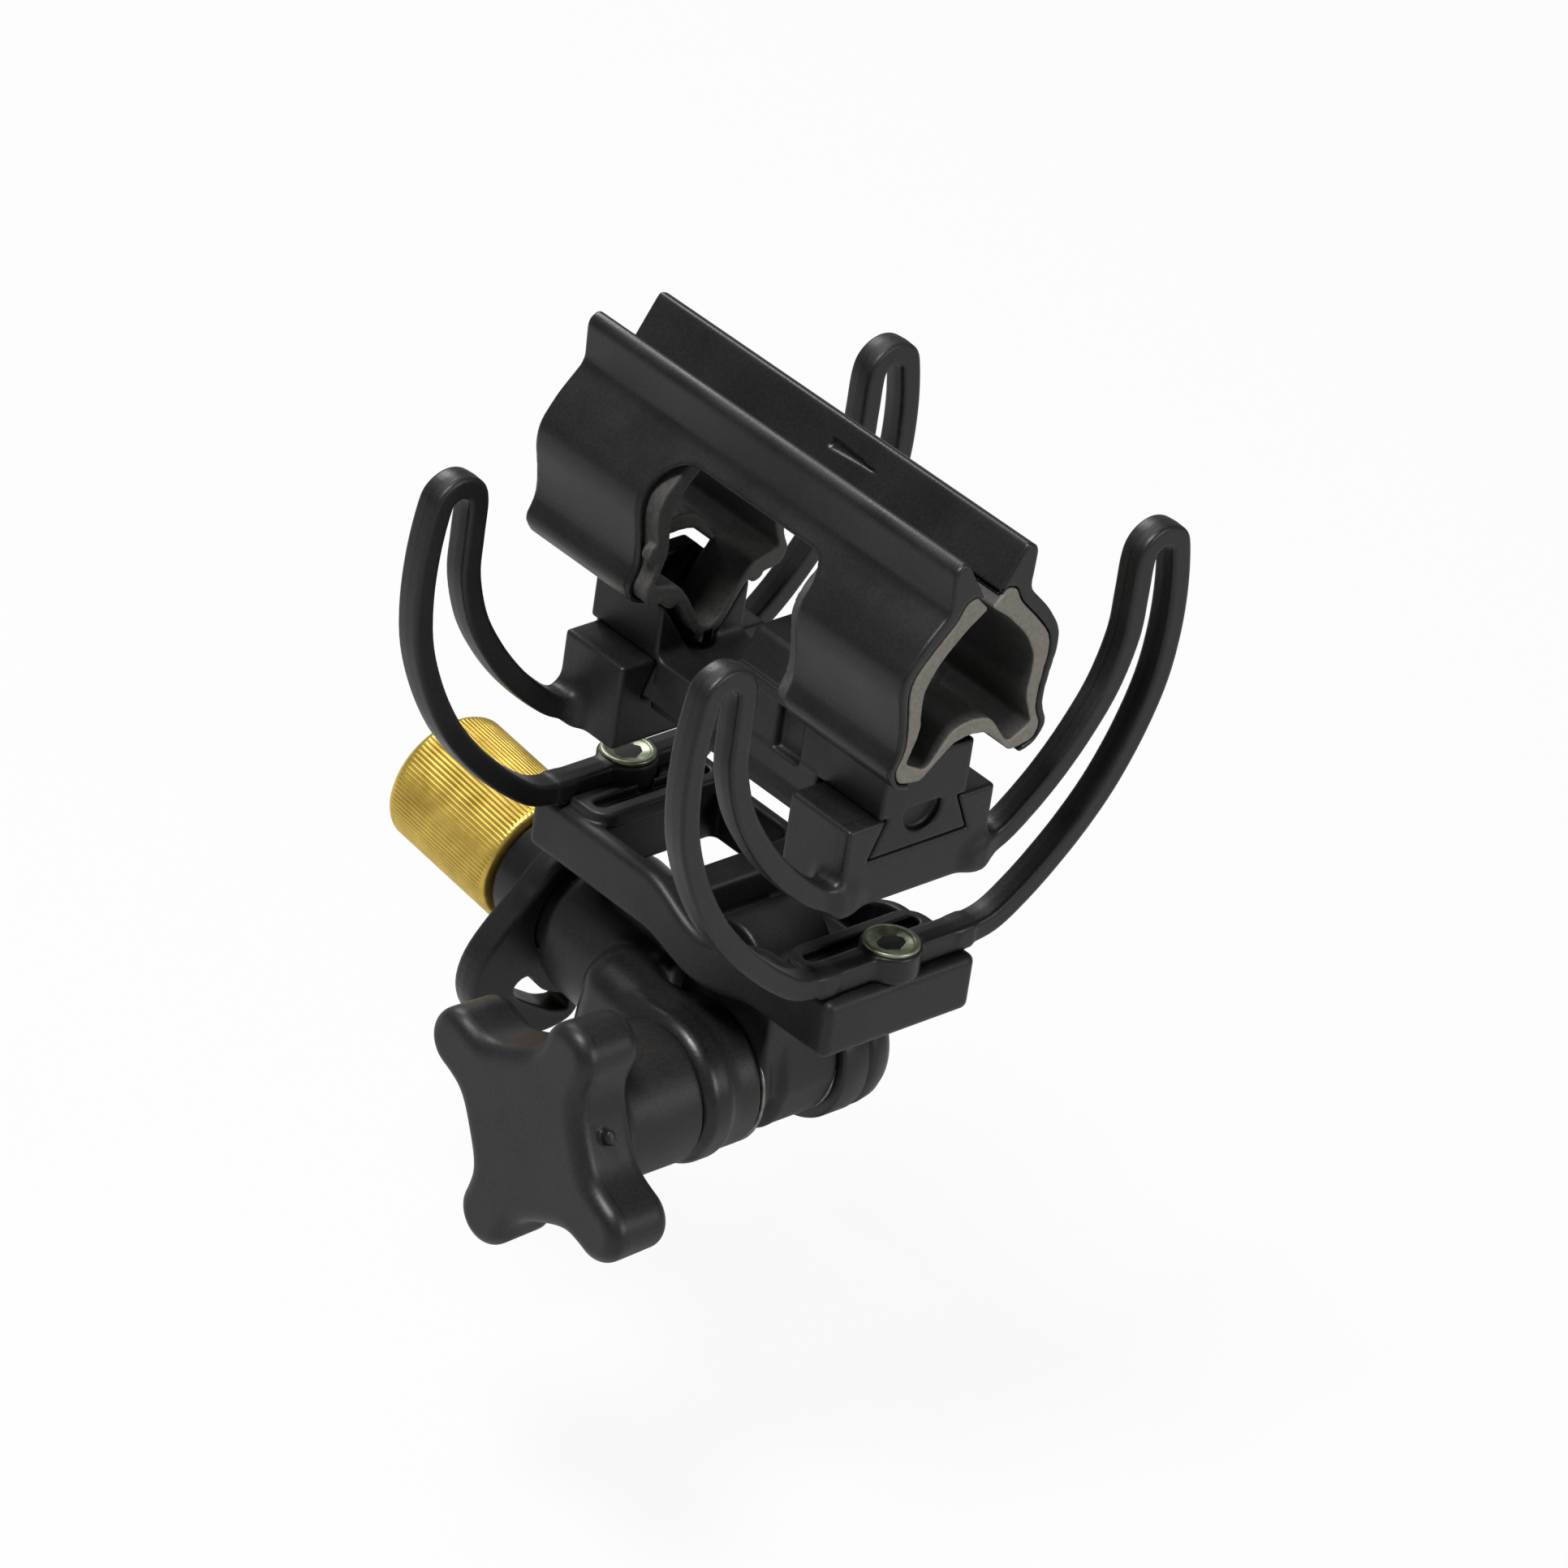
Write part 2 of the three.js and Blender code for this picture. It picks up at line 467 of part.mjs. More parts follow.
// The cable hook: a plate clipped round the collar, with a wing that hangs to the left.
function cableHook() {
  const plate = new THREE.Shape();
  plate.moveTo(9.6, 7.4);
  plate.absarc(0, 0, 12.1, 0.66, 2.3, false);
  plate.quadraticCurveTo(-15.5, 1, -18.4, -4.4);
  plate.quadraticCurveTo(-20.2, -10, -16.2, -15.6);
  plate.quadraticCurveTo(-11, -20.6, -2.6, -21.8);
  plate.quadraticCurveTo(3.6, -21.6, 3.4, -15.6);
  plate.lineTo(3.0, -11.72);
  plate.absarc(0, 0, 12.1, -1.32, 0.66, false);
  const body = alongY(plate, 0, CLIP_PLATE_T);
  const bore = rod(COLLAR_R + 0.3, -1, CLIP_PLATE_T + 1, 'y', 36);
  const hole = alongY(outline([
    [-10.9, -11.4], [-8.6, -9.6], [-5, -13.4], [0.6, -15.6], [1.2, -17.6], [-2.4, -17.8], [-7.8, -14.6],
  ]), -1, CLIP_PLATE_T + 1);
  return body.subtract(bore).subtract(hole).translate(0, CLIP_PLATE_FRONT, 0);
}

function brassAdapter() {
  const far = ADAPTER_NEAR + ADAPTER_LENGTH;
  const body = turned([[0, ADAPTER_NEAR], [ADAPTER_R - 0.5, ADAPTER_NEAR], [ADAPTER_R, ADAPTER_NEAR + 0.5],
    [ADAPTER_R, far - ADAPTER_CHAMFER], [ADAPTER_R - ADAPTER_CHAMFER, far], [0, far]], 'y', 48);
  return body.subtract(rod(SOCKET_R, far - SOCKET_DEPTH, far + 1, 'y'))
    .subtract(rod(PIVOT_R + 0.15, ADAPTER_NEAR - 1, far - 1, 'y', 24));
}

function pivotScrew() {
  const seat = ADAPTER_NEAR + ADAPTER_LENGTH - SOCKET_DEPTH + 0.1;
  const key = rod(1.9, seat + 1, seat + PIVOT_HEAD_T + 1, 'y', 6);
  return rod(PIVOT_HEAD_R, seat, seat + PIVOT_HEAD_T, 'y', 24)
    .add(rod(PIVOT_R, seat + PIVOT_HEAD_T - PIVOT_LENGTH, seat + 1, 'y', 24)).subtract(key);
}

// ---- assembly ----------------------------------------------------------------------------------
const upper = new THREE.Group();
for (const [side, turn] of [['front', 0], ['rear', Math.PI]]) {
  const station = new THREE.Group();
  const lyre = meshOf(`lyre_${side}`, lyreSolid(), plastic);
  const screw = meshOf(`lyre_screw_${side}`, lyreScrew(), steel);
  const insert = meshOf(`lyre_insert_${side}`, lyreInsert(), brass);
  station.add(lyre, screw, insert);
  station.children.forEach((piece) => piece.position.set(0, -LYRE_Y, 0));
  station.rotation.z = turn;
  upper.add(station);
}
upper.add(meshOf('bar', barSolid(), plastic));
upper.add(meshOf('carrier', carrierSolid(), plastic));
const rightShell = shellSolid();
const rightLiner = linerSolid();
upper.add(meshOf('clip_shell_right', rightShell, plastic));
upper.add(meshOf('clip_shell_left', rightShell.mirror([1, 0, 0]), plastic));
upper.add(meshOf('clip_liner_right', rightLiner, soft));
upper.add(meshOf('clip_liner_left', rightLiner.mirror([1, 0, 0]), soft));

const clamp = new THREE.Group();
clamp.position.set(0, HINGE_Y, HINGE_Z);
const leftWasher = meshOf('hinge_washer_left', hingeWasher(), steel);
leftWasher.position.x = -KNUCKLE_HALF_X - WASHER_T - HINGE_GAP;
const rightWasher = meshOf('hinge_washer_right', hingeWasher(), steel);
rightWasher.position.x = KNUCKLE_HALF_X + HINGE_GAP;
clamp.add(leftWasher, rightWasher);
clamp.add(meshOf('hinge_cap', hingeCap(), plastic));
clamp.add(meshOf('hinge_nut', hingeNut(), steel));
clamp.add(meshOf('clamp_bolt', clampBolt(), steel));
clamp.add(meshOf('knob', knobSolid(), plastic));

const base = new THREE.Group();
base.position.set(0, HINGE_Y, HINGE_Z);
base.rotation.x = THREE.MathUtils.degToRad(BASE_TILT);
base.add(meshOf('swivel_body', swivelBody(), plastic));
base.add(meshOf('cable_hook', cableHook(), plastic));
base.add(meshOf('brass_adapter', brassAdapter(), brass));
base.add(meshOf('adapter_screw', pivotScrew(), steel));

// The origin moves to the centre of the adapter's open end.
const reach = ADAPTER_NEAR + ADAPTER_LENGTH;
const mount = new THREE.Group();
mount.add(upper, clamp, base);
mount.position.set(0, -HINGE_Y - reach * Math.cos(base.rotation.x), -HINGE_Z - reach * Math.sin(base.rotation.x));

const group = new THREE.Group();
group.add(mount);
export default group;
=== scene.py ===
"""Looks of a lyre suspension mount for pencil microphones.

Two sprung nylon lyres carry a soft-lined snap clip above a bar. Below it a tilt swivel, clamped by a
four-lobed knob, ends in a cable hook and a knurled brass stand adapter. Each section makes one piece or a
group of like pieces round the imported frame. Sizes are in millimetres unless a name ends in _m.
"""
import json
import math

import bpy
import numpy as np
from mathutils import Matrix, Vector


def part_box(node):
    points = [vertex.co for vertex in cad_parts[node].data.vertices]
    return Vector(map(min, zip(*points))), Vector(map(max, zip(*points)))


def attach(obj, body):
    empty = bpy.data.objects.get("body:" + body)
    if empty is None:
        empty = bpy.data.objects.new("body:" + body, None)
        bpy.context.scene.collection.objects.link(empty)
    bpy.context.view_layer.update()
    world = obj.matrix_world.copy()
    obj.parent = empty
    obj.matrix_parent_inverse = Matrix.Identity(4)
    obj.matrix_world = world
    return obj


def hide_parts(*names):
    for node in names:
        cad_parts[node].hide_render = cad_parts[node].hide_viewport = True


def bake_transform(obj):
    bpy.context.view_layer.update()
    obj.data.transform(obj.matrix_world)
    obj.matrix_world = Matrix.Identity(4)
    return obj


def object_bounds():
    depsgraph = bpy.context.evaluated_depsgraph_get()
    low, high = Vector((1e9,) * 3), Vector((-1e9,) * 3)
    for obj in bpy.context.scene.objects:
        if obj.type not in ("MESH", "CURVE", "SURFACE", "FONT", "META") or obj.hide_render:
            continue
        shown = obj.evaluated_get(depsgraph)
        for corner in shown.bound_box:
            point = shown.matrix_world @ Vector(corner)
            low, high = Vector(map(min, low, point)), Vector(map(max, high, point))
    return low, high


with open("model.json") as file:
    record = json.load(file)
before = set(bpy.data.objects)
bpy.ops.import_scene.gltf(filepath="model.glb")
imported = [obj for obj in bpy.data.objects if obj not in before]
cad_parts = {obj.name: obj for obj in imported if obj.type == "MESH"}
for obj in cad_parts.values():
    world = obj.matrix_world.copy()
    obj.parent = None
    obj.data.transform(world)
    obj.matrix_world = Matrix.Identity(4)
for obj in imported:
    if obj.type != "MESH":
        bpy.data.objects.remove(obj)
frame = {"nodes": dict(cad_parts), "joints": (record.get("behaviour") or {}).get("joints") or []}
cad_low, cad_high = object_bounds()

# ---- Datums ------------------------------------------------------------------------------------
# The suspension is drawn from the top of the lyre screws and from midway between the two lyres.
# The swivel is drawn from the tilt hinge, and its stand end along a +Y that rises by the base's tilt.
joints = {joint["name"]: joint for joint in frame["joints"]}
MILLI = 0.001
middle_m = (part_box("lyre_front")[0].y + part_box("lyre_rear")[1].y) / 2
screw_top_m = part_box("lyre_screw_front")[1].z
hinge_m = Vector(joints["tilt"]["pos_m"])
stand_axis = Vector(joints["adapter_swivel"]["axis"])
BASE_TILT = math.atan2(stand_axis.z, stand_axis.y)

upper_place = Matrix.Translation((0, middle_m, screw_top_m)) @ Matrix.Scale(MILLI, 4)
hinge_place = Matrix.Translation(hinge_m) @ Matrix.Scale(MILLI, 4)
stand_place = Matrix.Translation(hinge_m) @ Matrix.Rotation(BASE_TILT, 4, "X") @ Matrix.Scale(MILLI, 4)
HINGE_Y = (hinge_m.y - middle_m) / MILLI
HINGE_Z = (hinge_m.z - screw_top_m) / MILLI

# ---- Camera ------------------------------------------------------------------------------------
# A long lens, high on the knob side in front of the clip, turned a little about its own axis.
LENS = 234.8
SENSOR = 36
CAMERA_AZIMUTH = math.radians(-45.28)
CAMERA_HEIGHT = math.radians(31.15)
CAMERA_ROLL = math.radians(8.67)
CAMERA_REACH = 1370
look_at = upper_place @ Vector((1.1, -2.03, 10.07))
back = Vector((
    math.sin(CAMERA_AZIMUTH) * math.cos(CAMERA_HEIGHT),
    -math.cos(CAMERA_AZIMUTH) * math.cos(CAMERA_HEIGHT),
    math.sin(CAMERA_HEIGHT),
))
level = Vector((math.cos(CAMERA_AZIMUTH), math.sin(CAMERA_AZIMUTH), 0))
upright = back.cross(level)
right = level * math.cos(CAMERA_ROLL) + upright * math.sin(CAMERA_ROLL)
up = upright * math.cos(CAMERA_ROLL) - level * math.sin(CAMERA_ROLL)
camera_data = bpy.data.cameras.new("camera")
camera_data.lens = LENS
camera_data.sensor_width = SENSOR
camera_data.clip_end = 20
camera = bpy.data.objects.new("camera", camera_data)
camera.matrix_world = (
    Matrix.Translation(look_at + back * CAMERA_REACH * MILLI)
    @ Matrix((right, up, back)).transposed().to_4x4()
)
bpy.context.scene.collection.objects.link(camera)
bpy.context.scene.camera = camera

# ---- Lyres -------------------------------------------------------------------------------------
# Each lyre is one black glass-filled nylon moulding: a beam screwed down on the bar, two long sprung arms
# that turn back in a hairpin, and a block with a dovetail socket that the inner arms hold in the air.
LYRE_Y = 27.4
LYRE_THICK = 3.9
ARM_HALF = 1.72
ARM_DRAFT = 0.07
ARM_EDGE = 0.5
TIP_X = 38.2
TIP_Z = 49.2
HAIRPIN_R = 3.2
BEAM_HALF_X = 13.5
BEAM_TOP = -0.6
BEAM_BOTTOM = -4.6
BOSS_R = 4.3
BLOCK_HALF_X = 12.9
BLOCK_LENGTH = 12
BLOCK_BOTTOM = 8.8
BLOCK_TOP = 21.7
DOVE_FLOOR = 16.0
DOVE_HALF_FLOOR = 8.9
DOVE_HALF_MOUTH = 6.4
FINE_STEP = 0.34
SLIDES = 3
MOTTLE_SCALE = 90
GRAIN_DEPTH_M = 0.00005
SEAM_CORE_M = 0.00005
SEAM_EDGE_M = 0.00016
SEAM_SHADE = 0.35
NYLON_SPECULAR = 0.36


def curve_through(points, samples=6):
    """Points of a Catmull-Rom curve: each span is the cubic whose end slopes join the neighbours."""
    p = np.array(points, float)
    p = np.vstack([2 * p[0] - p[1], p, 2 * p[-1] - p[-2]])
    t = np.linspace(0, 1, samples, endpoint=False)[:, None, None]
    a, b, c, d = p[:-3], p[1:-2], p[2:-1], p[3:]
    spans = 0.5 * (2 * b + (c - a) * t + (2 * a - 5 * b + 4 * c - d) * t**2 + (3 * b - a - 3 * c + d) * t**3)
    return np.vstack([spans.transpose(1, 0, 2).reshape(-1, 2), p[-2]])


def line_distance(u, v, points):
    """Distance from (u, v) to an open line: the least distance to any of its straight pieces."""
    best = np.inf
    for (au, av), (bu, bv) in zip(points[:-1], points[1:]):
        du, dv = bu - au, bv - av
        share = np.clip(((u - au) * du + (v - av) * dv) / (du * du + dv * dv), 0, 1)
        best = np.minimum(best, (u - au - share * du) ** 2 + (v - av - share * dv) ** 2)
    return np.sqrt(best)


def blend_union(a, b, fillet):
    """Union of two solids with a fillet: the smaller distance, less a parabola where the two are close."""
    near = np.maximum(fillet - np.abs(a - b), 0)
    return np.minimum(a, b) - near * near / (4 * fillet)


def cut(body, hole, edge):
    """Body less a hole, with the hole's rim rounded: a filleted union turned inside out."""
    return -blend_union(-body, hole, edge)


def walled(edge, *walls):
    """Solid behind several walls: the length of the positive distances, so that edges are round."""
    shifted = [wall + edge for wall in walls]
    outside = np.sqrt(sum(np.maximum(wall, 0) ** 2 for wall in shifted))
    inside = shifted[0]
    for wall in shifted[1:]:
        inside = np.maximum(inside, wall)
    return outside + np.minimum(inside, 0) - edge


def net_of(field, low, high, step):
    """Points and faces where field(x, y, z) is zero inside the box from low to high.

    Each grid cell that the surface crosses holds one point, the mean of its edge crossings. The point then
    slides along the field's slope onto the surface. Each grid edge that crosses it has one face, between
    the points of the four cells round it.
    """
    axes = [np.arange(a, b + step, step) for a, b in zip(low, high)]
    shape = tuple(len(axis) for axis in axes)
    value = field(axes[0][:, None, None], axes[1][None, :, None], axes[2][None, None, :])
    value = np.ascontiguousarray(np.broadcast_to(value, shape))
    inside = value < 0
    corners = [(i, j, k) for i in (0, 1) for j in (0, 1) for k in (0, 1)]

    def at(array, corner):
        i, j, k = corner
        return array[i:shape[0] - 1 + i, j:shape[1] - 1 + j, k:shape[2] - 1 + k]

    filled = sum(at(inside, corner).astype(np.int8) for corner in corners)
    active = (filled > 0) & (filled < 8)
    cells = np.argwhere(active)
    number = np.full(active.shape, -1, np.int64)
    number[active] = np.arange(len(cells))
    held = {corner: at(value, corner)[active] for corner in corners}
    total = np.zeros((len(cells), 3))
    count = np.zeros(len(cells))
    for a in corners:
        for axis in range(3):
            if a[axis]:
                continue
            b = tuple(1 if n == axis else a[n] for n in range(3))
            crossed = (held[a] < 0) != (held[b] < 0)
            share = np.where(crossed, held[a] / np.where(crossed, held[a] - held[b], 1), 0)
            spot = np.array(a) + share[:, None] * (np.array(b) - np.array(a))
            total += spot * crossed[:, None]
            count += crossed
    points = np.array(low) + step * (cells + total / count[:, None])
    nudge = 0.02
    for _ in range(SLIDES):
        here = field(*points.T)
        slope = np.stack([(field(*(points + nudge * row).T) - here) / nudge for row in np.eye(3)], axis=1)
        shift = here[:, None] * slope / np.maximum((slope**2).sum(1), 0.25)[:, None]
        points = points - np.clip(shift, -step / 2, step / 2)
    faces = []
    for turn in ((0, 1, 2), (1, 2, 0), (2, 0, 1)):
        solid = inside.transpose(turn)
        cell = number.transpose(turn)
        change = (solid[:-1] != solid[1:])[:, 1:-1, 1:-1]
        i, j, k = np.nonzero(change)
        quads = np.stack([cell[i, j, k], cell[i, j + 1, k], cell[i, j + 1, k + 1], cell[i, j, k + 1]], axis=1)
        outward = solid[:-1][:, 1:-1, 1:-1][change]
        faces.append(np.where(outward[:, None], quads, quads[:, ::-1]))
    return points, np.vstack(faces)


def piece_of(name, net, place, material, body, replaced):
    """One finished piece: its net moved from millimetres to its place, smooth shaded and on its body."""
    points, faces = net
    matrix = np.array(place)
    placed = points @ matrix[:3, :3].T + matrix[:3, 3]
    mesh = bpy.data.meshes.new(name)
    mesh.from_pydata(placed.tolist(), [], faces.tolist())
    mesh.shade_smooth()
    mesh.materials.append(material)
    piece = bpy.data.objects.new(name, mesh)
    bpy.context.scene.collection.objects.link(piece)
    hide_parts(replaced)
    if body:
        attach(piece, body)
    return piece


def material_of(name):
    """A new material with its nodes, its linker, its shader and its Object coordinates."""
    material = bpy.data.materials.new(name)
    material.use_nodes = True
    nodes = material.node_tree.nodes
    spot = nodes.new("ShaderNodeTexCoord").outputs["Object"]
    return material, nodes, material.node_tree.links.new, nodes["Principled BSDF"], spot


def noise_of(nodes, link, spot, scale, detail):
    """Value of a noise, between 0 and 1, at each place."""
    noise = nodes.new("ShaderNodeTexNoise")
    noise.inputs["Scale"].default_value = scale
    noise.inputs["Detail"].default_value = detail
    link(spot, noise.inputs["Vector"])
    return noise.outputs["Fac"]


def ramp_of(nodes, link, value, low, high, low_colour, high_colour=(1, 1, 1)):
    """Colour that goes from one to the other while the value goes from low to high."""
    ramp = nodes.new("ShaderNodeValToRGB")
    first, last = ramp.color_ramp.elements
    first.position, last.position = low, high
    first.color, last.color = (*low_colour, 1), (*high_colour, 1)
    link(value, ramp.inputs["Fac"])
    return ramp.outputs["Color"]


def range_of(nodes, link, value, start, end, low=0, high=1):
    """Value carried in proportion from low..high to start..end, and held at both ends."""
    carried = nodes.new("ShaderNodeMapRange")
    for socket, amount in (("From Min", low), ("From Max", high), ("To Min", start), ("To Max", end)):
        carried.inputs[socket].default_value = amount
    link(value, carried.inputs["Value"])
    return carried.outputs["Result"]


def product_of(nodes, link, colour, other, share):
    """Colour multiplied by another, as far as the share says."""
    mix = nodes.new("ShaderNodeMixRGB")
    mix.blend_type = "MULTIPLY"
    mix.inputs["Fac"].default_value = share
    link(colour, mix.inputs["Color1"])
    link(other, mix.inputs["Color2"])
    return mix.outputs["Color"]


def distance_of(nodes, link, spot, axis, place_m):
    """Distance along one axis from a place in metres."""
    split = nodes.new("ShaderNodeSeparateXYZ")
    link(spot, split.inputs["Vector"])
    away = nodes.new("ShaderNodeMath")
    away.operation = "SUBTRACT"
    away.inputs[1].default_value = place_m
    link(split.outputs[axis], away.inputs[0])
    size = nodes.new("ShaderNodeMath")
    size.operation = "ABSOLUTE"
    link(away.outputs["Value"], size.inputs[0])
    return size.outputs["Value"]


def roughened(nodes, link, shader, value, strength, depth_m):
    """Bump on a shader: the value is a height of up to depth_m metres."""
    bump = nodes.new("ShaderNodeBump")
    bump.inputs["Strength"].default_value = strength
    bump.inputs["Distance"].default_value = depth_m
    link(value, bump.inputs["Height"])
    link(bump.outputs["Normal"], shader.inputs["Normal"])


def nylon(name, tone, grain, rough, seam=None):
    """Black moulded nylon: two scales of noise tint it, dull it and raise its grain.

    seam is (axis, place in metres): a fine dark line where the two halves of the mould met.
    """
    material, nodes, link, shader, spot = material_of(name)
    fine = noise_of(nodes, link, spot, grain, 3)
    broad = noise_of(nodes, link, spot, MOTTLE_SCALE, 4)
    cool = (tone * 0.8, tone * 0.79, tone * 0.92)
    warm = (tone * 1.3, tone * 1.2, tone * 1.12)
    tint = ramp_of(nodes, link, broad, 0.3, 0.7, cool, warm)
    speck = ramp_of(nodes, link, fine, 0.35, 0.62, (0.2, 0.2, 0.2))
    colour = product_of(nodes, link, tint, speck, 0.5)
    gloss = range_of(nodes, link, broad, rough - 0.06, rough + 0.08, 0.3, 0.7)
    link(gloss, shader.inputs["Roughness"])
    roughened(nodes, link, shader, fine, 0.4, GRAIN_DEPTH_M)
    if seam:
        away = distance_of(nodes, link, spot, *seam)
        line = range_of(nodes, link, away, SEAM_SHADE, 1.0, SEAM_CORE_M, SEAM_EDGE_M)
        colour = product_of(nodes, link, colour, line, 1)
    link(colour, shader.inputs["Base Color"])
    shader.inputs["Specular IOR Level"].default_value = NYLON_SPECULAR
    return material


arm_outside = [
    (BEAM_HALF_X - 1.5, -2.6), (17.2, -1.7), (21.8, 1.1), (26.4, 4.9), (30.9, 9.4),
    (35.1, 14.8), (38.8, 21.6), (41.4, 28.8), (42.4, 36.0), (42.3, 43.0),
]
arm_inside = [
    (34.9, 43.6), (34.6, 37.6), (32.4, 30.6), (28.8, 24.6), (24.6, 19.4), (20.4, 15.4), (16.4, 12.4),
    (BLOCK_HALF_X - 1, BLOCK_BOTTOM + ARM_HALF),
]
hairpin = [
    (TIP_X + HAIRPIN_R * math.cos(turn), TIP_Z + HAIRPIN_R * math.sin(turn))
    for turn in np.radians([0, 45, 90, 135, 180])
]
arm_line = curve_through(arm_outside + hairpin + arm_inside)
dove_lean = (DOVE_HALF_FLOOR - DOVE_HALF_MOUTH) / (BLOCK_TOP - DOVE_FLOOR)


def dovetail_field(x, z, gap):
    """Dovetail channel: under two walls that lean together towards the mouth, and above the floor."""
    half = DOVE_HALF_FLOOR - gap - dove_lean * (z - DOVE_FLOOR)
    return walled(0.3, (np.abs(x) - half) / math.hypot(1, dove_lean), DOVE_FLOOR + gap - z)


def lyre_field(x, y, z):
    """Front lyre: arms of even width along a line, a ridged beam, a boss and a dovetailed block."""
    away = y + LYRE_Y
    ridge = ARM_DRAFT * np.abs(away)
    thick = np.abs(away) - LYRE_THICK / 2
    arm = walled(ARM_EDGE, line_distance(np.abs(x), z, arm_line) - ARM_HALF + ridge, thick)
    beam_middle = (BEAM_TOP + BEAM_BOTTOM) / 2
    beam_half = (BEAM_TOP - BEAM_BOTTOM) / 2
    beam = walled(0.4, np.abs(x) - BEAM_HALF_X, thick, np.abs(z - beam_middle) - beam_half + 2 * ridge)
    boss = walled(0.35, np.hypot(x, away) - BOSS_R, np.abs(z - beam_middle) - beam_half)
    block_y = BLOCK_LENGTH / 2 - LYRE_THICK / 2
    block_z = (BLOCK_TOP + BLOCK_BOTTOM) / 2
    block = walled(
        0.55, np.abs(x) - BLOCK_HALF_X, np.abs(away - block_y) - BLOCK_LENGTH / 2,
        np.abs(z - block_z) - (BLOCK_TOP - BLOCK_BOTTOM) / 2,
    )
    body = blend_union(blend_union(arm, beam, 0.9), boss, 0.7)
    return cut(blend_union(body, block, 3.2), dovetail_field(x, z, 0), 0.4)


lyre_net = net_of(lyre_field, (-45, -33.2, -5.4), (45, -16.4, 55), FINE_STEP)
half_turn = np.diag([-1, -1, 1])
for side, turn in (("front", np.eye(3)), ("rear", half_turn)):
    seam_y = middle_m - LYRE_Y * MILLI * turn[1, 1]
    finish = nylon(f"lyre_{side}_nylon", 0.011, 2600, 0.42, ("Y", seam_y))
    lyre = piece_of(
        f"lyre_moulding_{side}", (lyre_net[0] @ turn, lyre_net[1]), upper_place, finish,
        None, f"lyre_{side}",
    )
    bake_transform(lyre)

# ---- Lyre screws -------------------------------------------------------------------------------
# Low flanged steel screws with a hexagon socket, passivated to a dull olive. The flange has a flat rim,
# and the dish inside it drops to the socket.
SCREW_FLANGE_R = 3.95
SCREW_DISH_R = 3.15
SCREW_HEX_R = 1.75
SCREW_STEPS = 96


def ringed(rows, turn=np.eye(3)):
    """Net of a turned piece: a ring of points for each row of (radius at every angle, height).

    A profile whose last row is its first closes on itself. Any other is closed by a point on the axis at each
    end, with faces that span two steps of the ring.
    """
    looped = rows[0][1] == rows[-1][1] and np.allclose(rows[0][0], rows[-1][0])
    rows = rows[:-1] if looped else rows
    segments = len(rows[0][0])
    angle = np.linspace(0, 2 * np.pi, segments, endpoint=False)
    rings = [
        np.stack([radius * np.cos(angle), radius * np.sin(angle), np.full(segments, height)], axis=1)
        for radius, height in rows
    ]
    ring = np.arange(segments)
    after = np.roll(ring, -1)
    faces = []
    for n in range(len(rows) if looped else len(rows) - 1):
        low, high = n * segments, (n + 1) % len(rows) * segments
        faces.append(np.stack([low + ring, low + after, high + after, high + ring], axis=1))
    if not looped:
        pole = len(rows) * segments
        last = pole - segments
        even, odd = ring[::2], ring[1::2]
        beyond = np.roll(even, -1)
        faces.append(np.stack([np.full(len(even), pole), beyond, odd, even], axis=1))
        faces.append(np.stack([np.full(len(even), pole + 1), last + even, last + odd, last + beyond], axis=1))
        rings.append(np.array([[0, 0, rows[0][1]], [0, 0, rows[-1][1]]]))
    return np.vstack(rings) @ turn.T, np.vstack(faces)


def metal(name, scale, detail, tint, gloss, bump, metallic):
    """Metal whose tint, shine and fine bump all follow one noise.

    tint is (low, high, low colour, high colour), gloss two roughnesses and bump (strength, depth in metres).
    """
    material, nodes, link, shader, spot = material_of(name)
    noise = noise_of(nodes, link, spot, scale, detail)
    link(ramp_of(nodes, link, noise, *tint), shader.inputs["Base Color"])
    link(range_of(nodes, link, noise, *gloss), shader.inputs["Roughness"])
    roughened(nodes, link, shader, noise, *bump)
    shader.inputs["Metallic"].default_value = metallic
    return material


def hexagon_round(reach, angle):
    """Radius of a hexagon at each angle: its flat's distance over the cosine of the angle from the flat."""
    return reach * math.cos(math.pi / 6) / np.cos((angle + math.pi / 6) % (math.pi / 3) - math.pi / 6)


screw_angle = np.linspace(0, 2 * np.pi, SCREW_STEPS, endpoint=False)
around = np.ones(SCREW_STEPS)
hexagon = hexagon_round(SCREW_HEX_R, screw_angle)
screw_rows = [
    (0.9 * around, -1.6), (0.97 * hexagon, -1.4), (hexagon, -1.3), (hexagon, -0.62),
    (1.06 * hexagon, -0.52),
    (0.5 * (1.2 * hexagon + 2.5), -0.44), (2.9 * around, -0.24), (SCREW_DISH_R * around, -0.12),
    ((SCREW_DISH_R + 0.12) * around, -0.01), ((SCREW_DISH_R + 0.25) * around, 0.0),
    ((SCREW_FLANGE_R - 0.22) * around, 0.0), ((SCREW_FLANGE_R - 0.08) * around, -0.06),
    (SCREW_FLANGE_R * around, -0.2), (SCREW_FLANGE_R * around, -0.58), (2.0 * around, -0.6),
    (1.95 * around, -11.9), (1.5 * around, -12.1),
]
screw_net = ringed(screw_rows[::-1])
# Passivation leaves the steel between green and brown, with an uneven shine.
screw_finish = metal(
    "passivated_steel", 700, 4, (0.3, 0.7, (0.16, 0.19, 0.12), (0.36, 0.39, 0.28)),
    (0.25, 0.5), (0.2, 0.00005), 0.85,
)
for side, sign in (("front", -1), ("rear", 1)):
    shifted = screw_net[0] + np.array([0, sign * LYRE_Y, 0])
    piece_of(
        f"flanged_screw_{side}", (shifted, screw_net[1]), upper_place, screw_finish,
        "bar", f"lyre_screw_{side}",
    )

